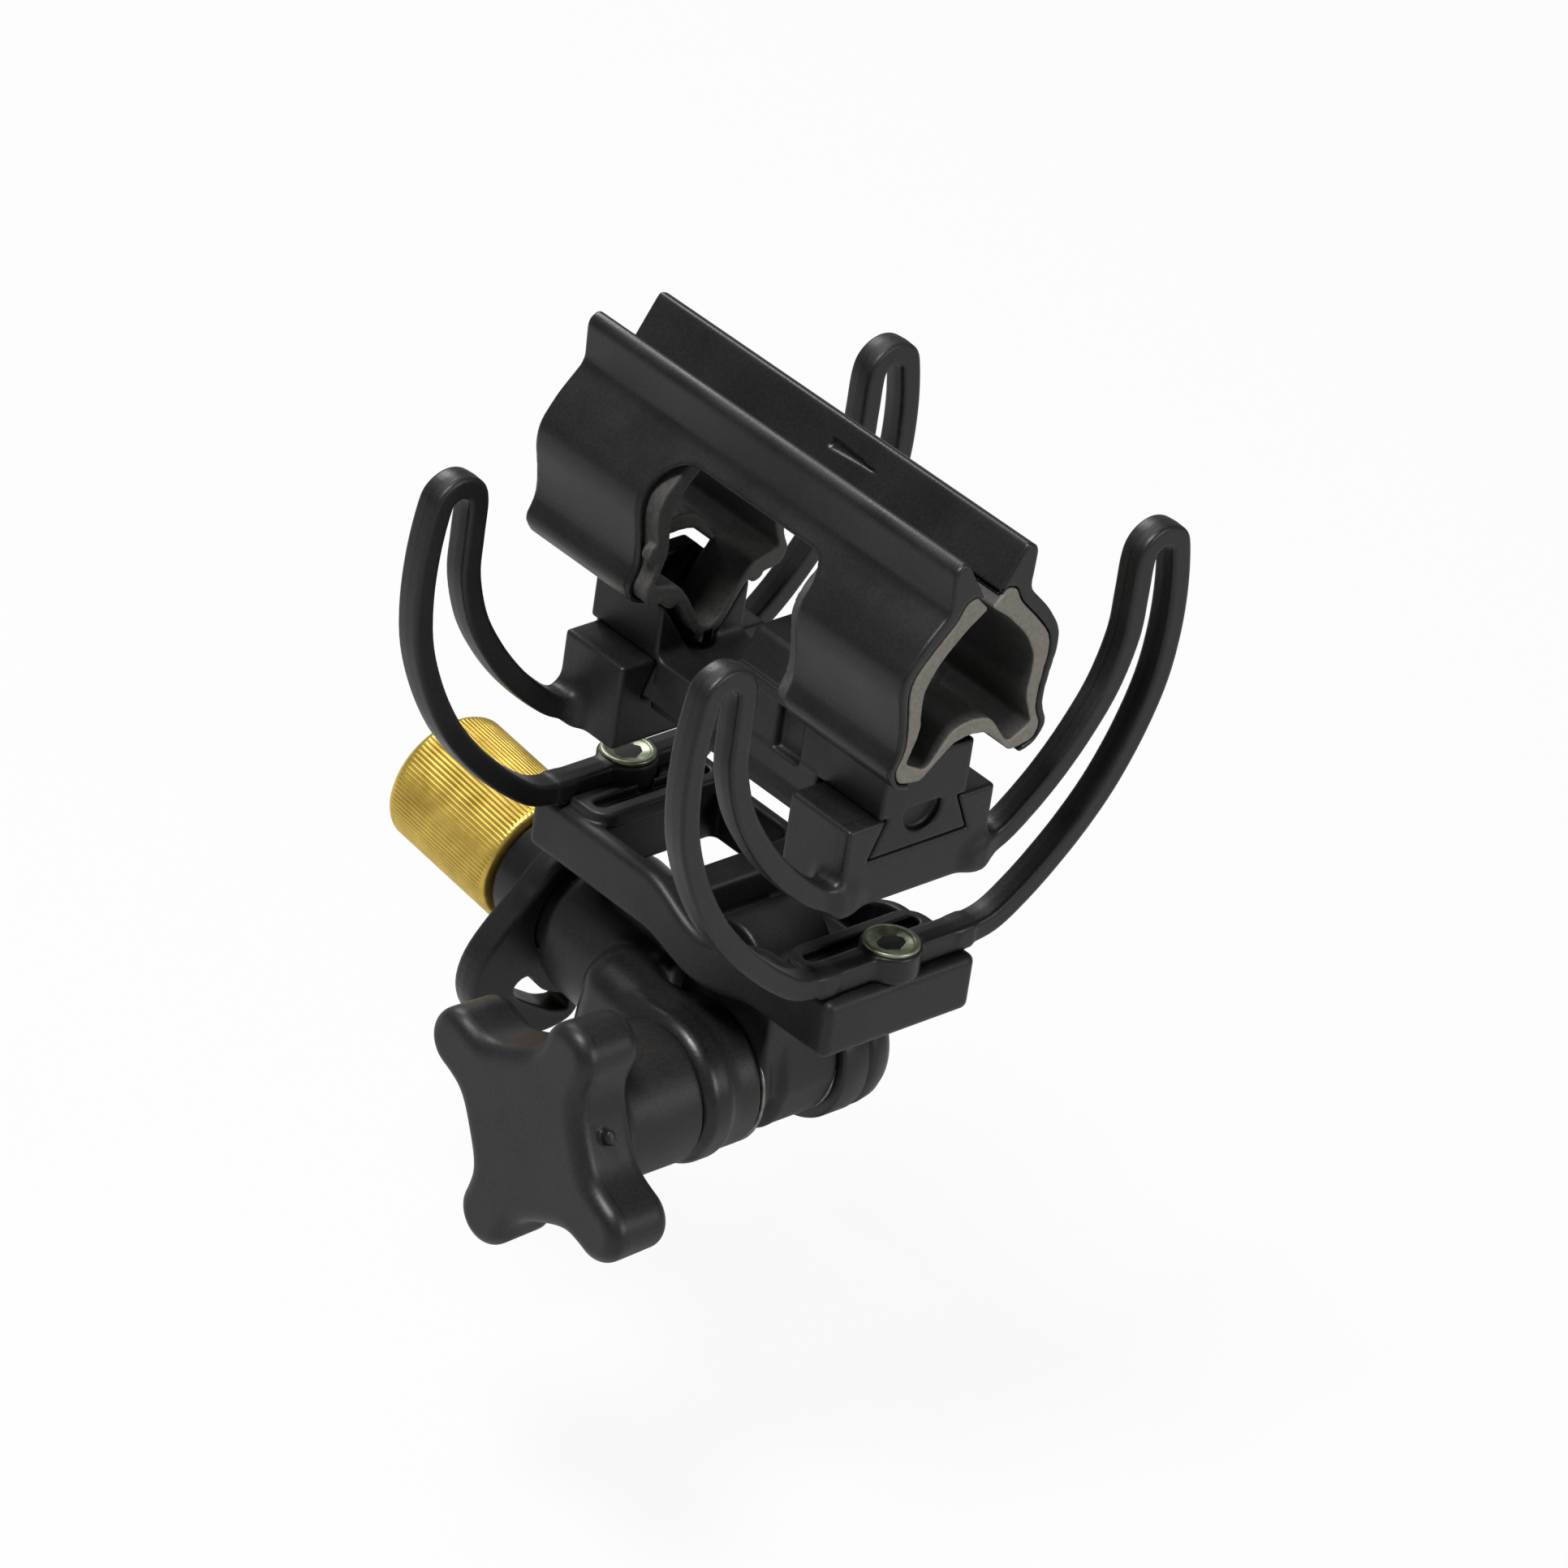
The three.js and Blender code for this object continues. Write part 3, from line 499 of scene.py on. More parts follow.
# ---- Bar ---------------------------------------------------------------------------------------
# The bar is one nylon moulding: an open frame with a solid block under each lyre, side walls that sink
# round the hinge, a slotted lip behind each lyre's beam and a hinge knuckle underneath.
BAR_HALF_X = 13.2
BAR_END_Y = 31
BAR_TOP = BEAM_BOTTOM
BAR_BOTTOM = -13.3
BAR_DIP_TOP = 4.0
BAR_DIP_BOTTOM = 2.6
BAR_DIP_HALF = 12.5
BAR_BLOCK = 11.5
BAR_WALL = 2.6
LIP_TOP = -3.0
LIP_HALF_X = 11.8
LIP_DEPTH = 6.6
KNUCKLE_HALF_X = 6.4
KNUCKLE_R = 10.2
KNUCKLE_SCOOP = 2.4
RIB_FROM_HINGE = 8.3
RIB_HALF = 1.8
CROWN_R = 6.2
CROWN_Z = -14.5
WEB_HALF_Y = 9
LIP_CORNER = 3.4
SLOT_HALF_X = 8.9
SLOT_R = 1.1
LYRE_SEAT_GAP = 0.2


def bar_field(x, y, z):
    """Frame between two waved planes, less its openings, plus crown, web, knuckle and the two lips."""
    side = np.abs(x)
    end = np.abs(y)
    phase = np.clip((y - HINGE_Y) / BAR_DIP_HALF, -1, 1)
    dip = 0.5 + 0.5 * np.cos(np.pi * phase)
    top = z - BAR_TOP + BAR_DIP_TOP * dip
    low = BAR_BOTTOM - BAR_DIP_BOTTOM * dip - z
    body = walled(1.3, side - BAR_HALF_X, end - BAR_END_Y, top, low)
    inner = side - BAR_HALF_X + BAR_WALL
    gap_end = BAR_END_Y - BAR_BLOCK
    rib = HINGE_Y + RIB_FROM_HINGE
    rear = walled(1.0, inner, y - gap_end, rib + RIB_HALF - y)
    front = walled(1.0, inner, -gap_end - y, y - rib + RIB_HALF, BAR_BOTTOM + 1.5 - z)
    drop = walled(1.0, inner, -gap_end - y, y - HINGE_Y + KNUCKLE_R - 2)
    body = cut(cut(cut(body, rear, 0.8), front, 0.8), drop, 0.8)
    crown = walled(0.6, side - KNUCKLE_HALF_X, np.hypot(y - HINGE_Y, z - CROWN_Z) - CROWN_R)
    web = walled(0.6, side - KNUCKLE_HALF_X, np.abs(y - HINGE_Y) - WEB_HALF_Y, HINGE_Z - z, z - BAR_BOTTOM)
    scoop = KNUCKLE_SCOOP * np.exp(-(((x + 4.2) / 1.3) ** 2)) + 0.5 / (1 + np.exp(-3 * (x + 2)))
    knuckle = walled(0.5, side - KNUCKLE_HALF_X, np.hypot(y - HINGE_Y, z - HINGE_Z) - KNUCKLE_R + scoop)
    body = blend_union(blend_union(body, crown, 0.8), blend_union(web, knuckle, 3.0), 1.2)
    near = LYRE_Y - LYRE_THICK / 2 - LYRE_SEAT_GAP
    beyond_side = np.maximum(side - LIP_HALF_X + LIP_CORNER, 0)
    beyond_end = np.maximum(near - LIP_DEPTH + LIP_CORNER - end, 0)
    tongue = np.hypot(beyond_side, beyond_end) - LIP_CORNER
    lip = walled(0.45, tongue, end - near, z - LIP_TOP, BAR_TOP - 1 - z)
    slot_line = np.hypot(np.maximum(side - SLOT_HALF_X, 0), end - near + LIP_CORNER)
    slot = walled(0.3, slot_line - SLOT_R, BAR_TOP - 0.6 - z)
    lip = cut(lip, slot, 0.3)
    room = np.hypot(x, end - LYRE_Y) - BOSS_R - LYRE_SEAT_GAP
    return blend_union(body, np.maximum(lip, -room), 0.6)


piece_of(
    "bar_moulding", net_of(bar_field, (-14.2, -32, -43), (14.2, 32, -2.2), 0.36), upper_place,
    nylon("bar_nylon", 0.010, 2400, 0.46), "bar", "bar",
)

# ---- Carrier -----------------------------------------------------------------------------------
# The carrier slides into both dovetails and hangs between the lyres. Its open channel lets the clip's
# foot flex, its sides are windowed under the clip, and its belly fills the gap between the blocks.
CARRIER_FRONT = (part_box("carrier")[0].y - middle_m) / MILLI
CARRIER_REAR = (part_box("carrier")[1].y - middle_m) / MILLI
CLIP_Y = ((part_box("clip_shell_left")[0].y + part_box("clip_shell_left")[1].y) / 2 - middle_m) / MILLI
NECK_HALF_X = 7.7
NECK_TOP = 30.4
BELLY_BOTTOM = 14.4
BELLY_END = LYRE_Y + LYRE_THICK / 2 - BLOCK_LENGTH - 0.6
TROUGH_FLOOR = 22.2
TROUGH_HALF_X = 3.0
TROUGH_LEAN = 0.667
BRIDGE_REAR = 2.0
BRIDGE_FRONT = -7.6
BRIDGE_TOP = 34.8
BRIDGE_FOOT = 29
WINDOW_HALF = 15.8
POCKET_LOW = 21.5
POCKET_HIGH = 28.2
POCKET_FRONT = -2.4
CRESCENT_R = 3.3
CRESCENT_Z = 21.6
CORE_HALF_X = 4.6
DOVE_GAP = 0.2


def carrier_field(x, y, z):
    """Neck, dovetail foot and belly as walled solids, less the channel, windows, pockets and recesses."""
    side = np.abs(x)
    along = np.maximum(CARRIER_FRONT - y, y - CARRIER_REAR)
    neck = walled(0.5, side - NECK_HALF_X, along, BLOCK_TOP + 0.1 - z, z - NECK_TOP)
    foot = np.maximum(walled(0.4, dovetail_field(x, z, DOVE_GAP), along), z - BLOCK_TOP - 0.6)
    belly = walled(0.6, side - NECK_HALF_X, np.abs(y) - BELLY_END, BELLY_BOTTOM - z, z - BLOCK_TOP - 1)
    body = np.minimum(blend_union(neck, belly, 0.4), foot)
    lean = math.hypot(1, TROUGH_LEAN)
    trough_side = (side - TROUGH_HALF_X - TROUGH_LEAN * (z - 23.9)) / lean
    trough = walled(0.5, trough_side, along + 3, TROUGH_FLOOR - z)
    window = walled(1.6, BRIDGE_REAR - y, y - CLIP_Y - WINDOW_HALF + 1, TROUGH_FLOOR - z)
    lift = 4.9 * (z - BRIDGE_FOOT) / (BRIDGE_TOP - BRIDGE_FOOT)
    slope = (side - NECK_HALF_X + 0.2 + np.maximum(lift, 0) * 0.63) * 0.88
    bridge = walled(0.7, slope, BRIDGE_FRONT - y, y - BRIDGE_REAR, z - BRIDGE_TOP, TROUGH_FLOOR - 1 - z)
    pocket = walled(
        0.6, NECK_HALF_X - 1.5 - side, CLIP_Y - WINDOW_HALF + 1.2 - y, y - POCKET_FRONT,
        POCKET_LOW - z, z - POCKET_HIGH,
    )
    crescent = walled(0.4, np.hypot(x, z - CRESCENT_Z) - CRESCENT_R, z - 22.4, y - CARRIER_FRONT - 1.2)
    core = walled(0.8, side - CORE_HALF_X, np.abs(y) - BELLY_END + 2.4, z - TROUGH_FLOOR + 2)
    for hole, edge in ((trough, 0.4), (window, 0.6), (pocket, 0.4), (crescent, 0.3), (core, 0.5)):
        body = cut(body, hole, edge)
    return blend_union(body, bridge, 0.5)


piece_of(
    "carrier_moulding",
    net_of(carrier_field, (-10, CARRIER_FRONT - 1, 13.4), (10, CARRIER_REAR + 1, 36), 0.32),
    upper_place, nylon("carrier_nylon", 0.009, 2500, 0.45), "carrier", "carrier",
)

# ---- Clip shells -------------------------------------------------------------------------------
# The left and right shells are stiff nylon walls with the waved section of a spring clip. Their tops flare
# into the V that leads the microphone in, and a window in each side bares the liner.
CLIP_HALF = 37.4
WINDOW_TOP = 54.2
WINDOW_CORNER_REAR = 5.2
WINDOW_CORNER_FRONT = 3.4
shell_outside = [
    (5.4, 64.2, 0.9), (7.3, 63.2, 1.2), (7.0, 56.8, 1.2), (11.0, 52.8, 1.6), (13.6, 49.1, 1.6),
    (13.9, 46.2, 1.4),
    (12.8, 40.8, 2.0), (12.6, 37.4, 1.6), (14.1, 34.4, 1.2), (12.4, 31.6, 1.2), (9.7, 30.7, 0.5),
]
seat_line = [
    (9.8, 31.8, 0.4), (12.0, 32.3, 0.8), (12.9, 34.4, 0.9), (11.5, 37.3, 1.4), (11.7, 41.0, 2.0),
    (12.5, 46.2, 1.2),
    (12.0, 48.6, 1.2), (9.7, 51.4, 1.6), (5.7, 55.4, 1.0), (4.4, 57.9, 0.8), (2.6, 58.3, 0.3),
]
shell_lip = [(1.5, 57.6, 0.3), (1.1, 57.4, 0.4), (4.7, 63.3, 0.8)]


def eased(points, steps=5):
    """Closed outline with round corners: each corner is a parabola that starts its third value before it."""
    p = np.array([point[:2] for point in points], float)
    reach = np.array([point[2] for point in points], float)
    before = np.roll(p, 1, axis=0) - p
    after = np.roll(p, -1, axis=0) - p
    long_before = np.linalg.norm(before, axis=1)
    long_after = np.linalg.norm(after, axis=1)
    start = p + before * (np.minimum(reach, 0.48 * long_before) / long_before)[:, None]
    end = p + after * (np.minimum(reach, 0.48 * long_after) / long_after)[:, None]
    t = np.linspace(0, 1, steps)[None, :, None]
    corner = (1 - t) ** 2 * start[:, None] + 2 * t * (1 - t) * p[:, None] + t**2 * end[:, None]
    return corner.reshape(-1, 2)


def outline_distance(u, v, points):
    """Signed distance to a closed outline: negative where a sight line crosses it an odd number of times."""
    best = np.inf
    inside = False
    for (au, av), (bu, bv) in zip(points, np.roll(points, -1, axis=0)):
        du, dv = bu - au, bv - av
        share = np.clip(((u - au) * du + (v - av) * dv) / (du * du + dv * dv + 1e-12), 0, 1)
        best = np.minimum(best, (u - au - share * du) ** 2 + (v - av - share * dv) ** 2)
        rise = dv if abs(dv) > 1e-9 else 1e-9
        inside = inside ^ (((av > v) != (bv > v)) & (u < au + du * (v - av) / rise))
    return np.where(inside, -1, 1) * np.sqrt(best)


shell_section = eased(shell_outside + seat_line + shell_lip)


def window_field(y, z):
    """Side window: open below, with its two upper corners round."""
    corner = np.where(y > CLIP_Y, WINDOW_CORNER_REAR, WINDOW_CORNER_FRONT)
    away = np.maximum(np.abs(y - CLIP_Y) - WINDOW_HALF + corner, 0)
    rise = np.maximum(z - WINDOW_TOP + corner, 0)
    return np.hypot(away, rise) - corner


def shell_field(x, y, z):
    """Right shell: its section drawn along the clip, less the window."""
    body = walled(0.3, outline_distance(x, z, shell_section), np.abs(y - CLIP_Y) - CLIP_HALF)
    return cut(body, window_field(y, z), 0.9)


def mirrored(net):
    """The same net on the other side of the middle plane, its faces turned to point outwards again."""
    points, faces = net
    return points * np.array([-1, 1, 1]), faces[:, ::-1]


lead_in_foot, lead_in_top = np.array(shell_lip[1][:2]), np.array(shell_lip[2][:2])
lead_in_slope = (lead_in_top - lead_in_foot) / np.linalg.norm(lead_in_top - lead_in_foot)
ARROW_DEPTH = 0.35
arrow_outline = [(1.0, 3.5), (1.0, 4.8), (-8.5, 4.15)]


def arrowed_field(x, y, z):
    """Shell with an arrow sunk in its lead-in face: a triangle along the clip that points to the front."""
    across, rise = x - lead_in_foot[0], z - lead_in_foot[1]
    up_face = across * lead_in_slope[0] + rise * lead_in_slope[1]
    off_face = rise * lead_in_slope[0] - across * lead_in_slope[1]
    arrow = walled(0.1, outline_distance(y, up_face, arrow_outline), np.abs(off_face) - ARROW_DEPTH)
    return cut(shell_field(x, y, z), arrow, 0.15)


shell_low, shell_high = (0.2, CLIP_Y - CLIP_HALF - 1, 29.8), (15, CLIP_Y + CLIP_HALF + 1, 65.2)
shell_net = net_of(shell_field, shell_low, shell_high, 0.36)
arrowed_net = net_of(arrowed_field, shell_low, shell_high, 0.36)
shell_finish = nylon("shell_nylon", 0.010, 2300, 0.36)
for side, net in (("right", arrowed_net), ("left", mirrored(shell_net))):
    piece_of(
        f"clip_wall_{side}", net, upper_place, shell_finish, f"jaw_{side}",
        f"clip_shell_{side}",
    )

# ---- Clip liner --------------------------------------------------------------------------------
# A soft grey elastomer lines each shell and grips the microphone. Its cut ends are painted paler than the
# skin, as painted light on the lit end faces. Its foot rises in a hump at the ends of the clip and sinks in
# a V beside the window.
LINER_GAP = 0.15
BORE_Z = 45.3
SPLIT = 0.3
MEET = -0.2
LINER_WINDOW = WINDOW_HALF - 2.2
LINER_KEYS = ((11.4, 40.2), (7.4, 32.2))
liner_inside = [
    (SPLIT, 55.8, 0.2), (3.8, 53.3, 1.0), (7.6, 49.6, 1.6), (9.6, 46.0, 1.2), (9.7, 43.4, 1.2),
    (9.2, 39.9, 1.6),
    (11.0, 35.2, 0.6),
]
liner_hump = [
    (7.2, 33.2, 1.2), (3.4, 38.3, 1.6), (MEET, 38.9, 0.2), (MEET, 36.4, 0.2), (2.8, 36.1, 1.2),
    (7.8, 31.8, 0.4),
]
liner_valley = [
    (8.6, 34.4, 0.6), (6.3, 33.8, 0.9), (4.3, 31.2, 0.9), (1.5, 26.4, 0.8), (MEET, 25.9, 0.2),
    (MEET, 24.6, 0.2),
    (2.0, 24.9, 0.8), (5.2, 30.2, 0.9), (6.9, 32.0, 0.6), (8.0, 31.8, 0.3),
]
liner_outside = []
for point_x, point_z, ease in seat_line:
    keep = 1 - LINER_GAP / math.hypot(point_x, point_z - BORE_Z)
    liner_outside.append((point_x * keep, BORE_Z + (point_z - BORE_Z) * keep, ease))
hump_section = eased(liner_outside + liner_inside + liner_hump)
valley_section = eased(liner_outside + liner_inside + liner_valley)


def liner_field(x, y, z):
    """Right liner: the humped section at the ends, the V section beside the window, open at the window."""
    along = np.abs(y - CLIP_Y)
    humped = walled(0.25, outline_distance(x, z, hump_section), along - CLIP_HALF, WINDOW_HALF + 6 - along)
    valleyed = walled(0.25, outline_distance(x, z, valley_section), along - WINDOW_HALF - 6.2)
    body = np.minimum(humped, valleyed)
    keys = [walled(0.3, np.hypot(x - key_x, z - key_z) - 1.5) for key_x, key_z in LINER_KEYS]
    keys = np.minimum(np.minimum(*keys), walled(0.3, x - 1.2, np.abs(z - 24.4) - 1.1))
    past = y - CLIP_Y - LINER_WINDOW
    keys = np.maximum(keys, np.maximum(past - 1.6, -past))
    body = cut(body, walled(0.5, along - LINER_WINDOW, z - WINDOW_TOP - 0.4), 0.2)
    return np.minimum(body, keys)


def elastomer(name):
    """Grey elastomer: dull speckled skin, painted paler as if lit in the last tenth of a millimetre at the
    cut ends.
    """
    material, nodes, link, shader, spot = material_of(name)
    noise = noise_of(nodes, link, spot, 1500, 4)
    skin = ramp_of(nodes, link, noise, 0.3, 0.7, (0.030, 0.029, 0.028), (0.055, 0.053, 0.050))
    # Painted light: the cut ends take this paler grey, as if lit, against the darker skin.
    lit_end_colour = ramp_of(nodes, link, noise, 0.3, 0.7, (0.15, 0.14, 0.118), (0.21, 0.198, 0.17))
    away = distance_of(nodes, link, spot, "Y", middle_m + CLIP_Y * MILLI)
    painted_light_mask = range_of(nodes, link, away, 0, 1, (CLIP_HALF - 0.22) * MILLI, (CLIP_HALF - 0.08) * MILLI)
    mix = nodes.new("ShaderNodeMixRGB")
    link(painted_light_mask, mix.inputs["Fac"])
    link(skin, mix.inputs["Color1"])
    link(lit_end_colour, mix.inputs["Color2"])
    link(mix.outputs["Color"], shader.inputs["Base Color"])
    roughened(nodes, link, shader, noise, 0.3, 0.00008)
    link(range_of(nodes, link, noise, 0.55, 0.8), shader.inputs["Roughness"])
    return material


liner_net = net_of(liner_field, (-1, CLIP_Y - CLIP_HALF - 1, 22.6), (14, CLIP_Y + CLIP_HALF + 1, 59.4), 0.36)
liner_finish = elastomer("grey_elastomer")
for side, net in (("right", liner_net), ("left", mirrored(liner_net))):
    liner = piece_of(
        f"grip_liner_{side}", net, upper_place, liner_finish, None, f"clip_liner_{side}",
    )
    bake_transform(liner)

# ---- Swivel body -------------------------------------------------------------------------------
# The lower half of the hinge: a round cheek against the knuckle, a neck that rolls into a thick barrel, and
# a narrower collar that the hook clips round. One nylon moulding with soft, generous corners.
CHEEK_R = 10.8
CHEEK_OUT = 17.0
CHEEK_IN = 7.1
BARREL_R = 11.3
BARREL_FRONT = 13.2
BARREL_BACK = 34
COLLAR_R = 9.1
ADAPTER_NEAR = 46.2
HINGE_ROOM = 11.0


def swivel_field(x, y, z):
    """Cheek and barrel as round solids joined by a filleted neck, less the room the knuckle turns in."""
    radius = np.hypot(y, z)
    cheek = walled(1.0, radius - CHEEK_R + 0.9, -CHEEK_OUT - x, x + CHEEK_IN)
    bulge = np.hypot(np.maximum(np.abs(x + 14.2) - 0.9, 0), radius - CHEEK_R + 1.7) - 1.9
    rim = walled(0.5, radius - CHEEK_R + 0.3, np.abs(x + 9.6) - 2.4)
    cheek = blend_union(blend_union(cheek, bulge, 0.8), rim, 0.8)
    neck = walled(4.4, np.abs(x + 12.2) - 5.0, np.abs(y - 9) - 11, np.abs(z) - 9.6)
    turn = np.hypot(x, z)
    barrel = walled(2.6, turn - BARREL_R, BARREL_FRONT - y, y - BARREL_BACK)
    collar = walled(0.5, turn - COLLAR_R, 20 - y, y - ADAPTER_NEAR + 0.2)
    body = blend_union(blend_union(cheek, neck, 3.0), blend_union(barrel, collar, 0.8), 4.0)
    room = walled(0.6, radius - HINGE_ROOM, -CHEEK_IN - x)
    return cut(body, room, 0.5)


piece_of(
    "swivel_moulding", net_of(swivel_field, (-18, -12, -12.4), (12.4, 47, 12.4), 0.38), stand_place,
    nylon("swivel_nylon", 0.011, 2300, 0.34), "base", "swivel_body",
)

# ---- Cable hook --------------------------------------------------------------------------------
# A flat nylon plate clipped round the collar. Its wing hangs beside the barrel and ends in a hooked hole that
# holds the microphone's cable, and a mould line runs round its edge.
HOOK_FRONT = 35.5
HOOK_THICK = 4.6
HOOK_R = 12.1
wing_points = [
    (-11.0, 5.2, 1.0), (-15.2, 0.6, 3.0), (-18.6, -4.6, 3.5), (-19.0, -10.2, 3.5), (-16.2, -15.6, 3.5),
    (-9.6, -20.4, 3.5), (-2.6, -22.0, 3.0), (2.8, -20.6, 2.5), (3.4, -15.6, 2.5), (2.6, -10.0, 1.5),
    (0, 5.2, 0.5),
]
hook_hole = [
    (-10.9, -10.6, 1.4), (-9.0, -9.3, 1.2), (-7.4, -10.4, 1.2), (-5.0, -13.4, 1.4), (-1.6, -14.9, 1.4),
    (0.9, -16.2, 1.2), (0.9, -18.6, 1.2), (-2.4, -17.8, 1.4), (-7.8, -14.4, 1.6), (-10.2, -12.6, 1.2),
]
wing_outline = eased(wing_points)
hole_outline = eased(hook_hole)


def hook_field(x, y, z):
    """Ring and wing drawn along the collar's axis, less the collar's bore and the hooked hole."""
    along = np.abs(y - HOOK_FRONT - HOOK_THICK / 2)
    thick = along - HOOK_THICK / 2
    ring = np.hypot(x, z)
    plate = blend_union(ring - HOOK_R, outline_distance(x, z, wing_outline), 1.5) + 0.1 * along
    body = walled(0.9, plate, thick)
    body = cut(body, outline_distance(x, z, hole_outline), 0.6)
    return cut(body, ring - COLLAR_R - 0.3, 0.3)


piece_of(
    "cable_hook_plate",
    net_of(hook_field, (-20, HOOK_FRONT - 1, -23.4), (13, HOOK_FRONT + HOOK_THICK + 1, 13), 0.32),
    stand_place, nylon("hook_nylon", 0.013, 2300, 0.4), "base", "cable_hook",
)

# ---- Brass adapter -----------------------------------------------------------------------------
# A turned brass sleeve with a fine straight knurl between two plain chamfered rims, and a blind threaded
# socket for the stand in its far end.
ADAPTER_R = 10.2
ADAPTER_FAR = math.hypot(hinge_m.y, hinge_m.z) / MILLI
ADAPTER_CHAMFER = 1.2
SOCKET_R = 4.76
SOCKET_DEPTH = 14
FLUTES = 92
FLUTE_DEPTH = 0.17
THREAD_PITCH = 1.5875
PIVOT_HOLE_R = 2.65
FLUTE_STEPS = 8

flute_angle = np.linspace(0, 2 * np.pi, FLUTES * FLUTE_STEPS, endpoint=False)
flute_wave = np.abs(np.sin(flute_angle * FLUTES / 2)) ** 0.7
plain_ring = np.ones(FLUTES * FLUTE_STEPS)


def flute_ring(depth):
    """Radius round the sleeve: the outside, less the flutes' cut, a power of a rectified sine."""
    return ADAPTER_R - 0.02 - depth * (1 - flute_wave)


adapter_rows = [
    (PIVOT_HOLE_R * plain_ring, ADAPTER_NEAR), ((ADAPTER_R - 1.0) * plain_ring, ADAPTER_NEAR),
    ((ADAPTER_R - 0.55) * plain_ring, ADAPTER_NEAR + 0.12),
    ((ADAPTER_R - 0.25) * plain_ring, ADAPTER_NEAR + 0.4),
    (flute_ring(0.02), ADAPTER_NEAR + 0.85), (flute_ring(FLUTE_DEPTH), ADAPTER_NEAR + 1.15),
]
adapter_rows += [
    (flute_ring(FLUTE_DEPTH), height)
    for height in np.linspace(ADAPTER_NEAR + 2, ADAPTER_FAR - ADAPTER_CHAMFER - 0.9, 12)
]
adapter_rows += [
    (flute_ring(0.02), ADAPTER_FAR - ADAPTER_CHAMFER - 0.3),
    ((ADAPTER_R - 0.12) * plain_ring, ADAPTER_FAR - ADAPTER_CHAMFER),
    ((ADAPTER_R - 0.4) * plain_ring, ADAPTER_FAR - ADAPTER_CHAMFER + 0.45),
    ((ADAPTER_R - ADAPTER_CHAMFER) * plain_ring, ADAPTER_FAR - 0.08),
    ((ADAPTER_R - ADAPTER_CHAMFER - 0.25) * plain_ring, ADAPTER_FAR),
    ((SOCKET_R + 0.6) * plain_ring, ADAPTER_FAR), (SOCKET_R * plain_ring, ADAPTER_FAR - 0.6),
]
thread_heights = np.arange(ADAPTER_FAR - 1.0, ADAPTER_FAR - SOCKET_DEPTH + 1.0, -THREAD_PITCH / 8)
for height in thread_heights:
    turn_share = (height / THREAD_PITCH - flute_angle / (2 * np.pi)) % 1
    adapter_rows.append((SOCKET_R - 0.7 * np.abs(turn_share - 0.5), height))
adapter_rows += [
    (SOCKET_R * plain_ring, ADAPTER_FAR - SOCKET_DEPTH),
    (PIVOT_HOLE_R * plain_ring, ADAPTER_FAR - SOCKET_DEPTH),
    (PIVOT_HOLE_R * plain_ring, ADAPTER_NEAR),
]
lathe_to_y = np.array([[1, 0, 0], [0, 0, 1], [0, -1, 0]], float)


adapter_finish = metal(
    "turned_brass", 260, 5, (0.25, 0.75, (0.50, 0.335, 0.055), (0.80, 0.58, 0.13)),
    (0.28, 0.45), (0.15, 0.00005), 0.9,
)
adapter_net = ringed(adapter_rows, lathe_to_y)
piece_of(
    "knurled_adapter", adapter_net, stand_place, adapter_finish, "adapter", "brass_adapter",
)

# ---- Knob --------------------------------------------------------------------------------------
# The clamp knob: four round lobes with hollow flanks, a flat front whose edge is softly rolled, and a plain
# hub. A mould line runs round the lobes near the front and a small gate mark is left on one flank.
KNOB_OUT = 41
KNOB_HUB_OUT = 30.6
KNOB_HUB_R = 10.3
LOBE_R = 4.7
LOBE_REACH = 17.0
KNOB_TURN = math.radians(20)
KNOB_GAP = 0.3
GATE_TURN = 135
GATE_REACH = 14.2
GATE_X = 36.4
KNOB_DISC_R = 10.6
KNOB_BORE_R = 3.3
KNOB_SEAM = 2.6


def knob_outline(y, z):
    """Star of four capsules round a disc, joined by large fillets."""
    c, s = math.cos(KNOB_TURN), math.sin(KNOB_TURN)
    a = np.abs(y * c + z * s)
    b = np.abs(z * c - y * s)
    first = np.hypot(np.maximum(a - LOBE_REACH, 0), b) - LOBE_R
    second = np.hypot(np.maximum(b - LOBE_REACH, 0), a) - LOBE_R
    disc = np.hypot(y, z) - KNOB_DISC_R
    return blend_union(blend_union(first, second, 13.0), disc, 5.0)


def knob_field(x, y, z):
    """Star drawn along the hinge axis with a rolled front edge, on a round hub."""
    flat = knob_outline(y, z)
    middle_x = (KNOB_OUT + KNOB_HUB_OUT) / 2
    depth = np.abs(x + middle_x) - (KNOB_OUT - KNOB_HUB_OUT) / 2
    draft = 0.03 * np.abs(x + KNOB_OUT - KNOB_SEAM)
    star = walled(2.1, flat + draft, depth)
    radius = np.hypot(y, z)
    hub = walled(0.5, radius - KNOB_HUB_R, x + CHEEK_OUT + KNOB_GAP, -KNOB_HUB_OUT - 2 - x)
    bore = walled(0.4, radius - KNOB_BORE_R, -KNOB_HUB_OUT - x)
    gate_turn = KNOB_TURN + math.radians(GATE_TURN)
    gate_out = y * math.cos(gate_turn) + z * math.sin(gate_turn) - GATE_REACH
    gate_side = z * math.cos(gate_turn) - y * math.sin(gate_turn)
    gate = walled(0.3, np.hypot(gate_side, (x + GATE_X) * 1.4) - 1.1, gate_out, -gate_out - 3)
    return cut(blend_union(blend_union(star, hub, 1.2), gate, 0.2), bore, 0.3)


knob_finish = nylon("knob_nylon", 0.012, 2100, 0.44, ("X", (-KNOB_OUT + KNOB_SEAM) * MILLI))
piece_of(
    "star_knob", net_of(knob_field, (-42, -23.4, -23.4), (-16.6, 23.4, 23.4), 0.4), hinge_place,
    knob_finish, "knob", "knob",
)

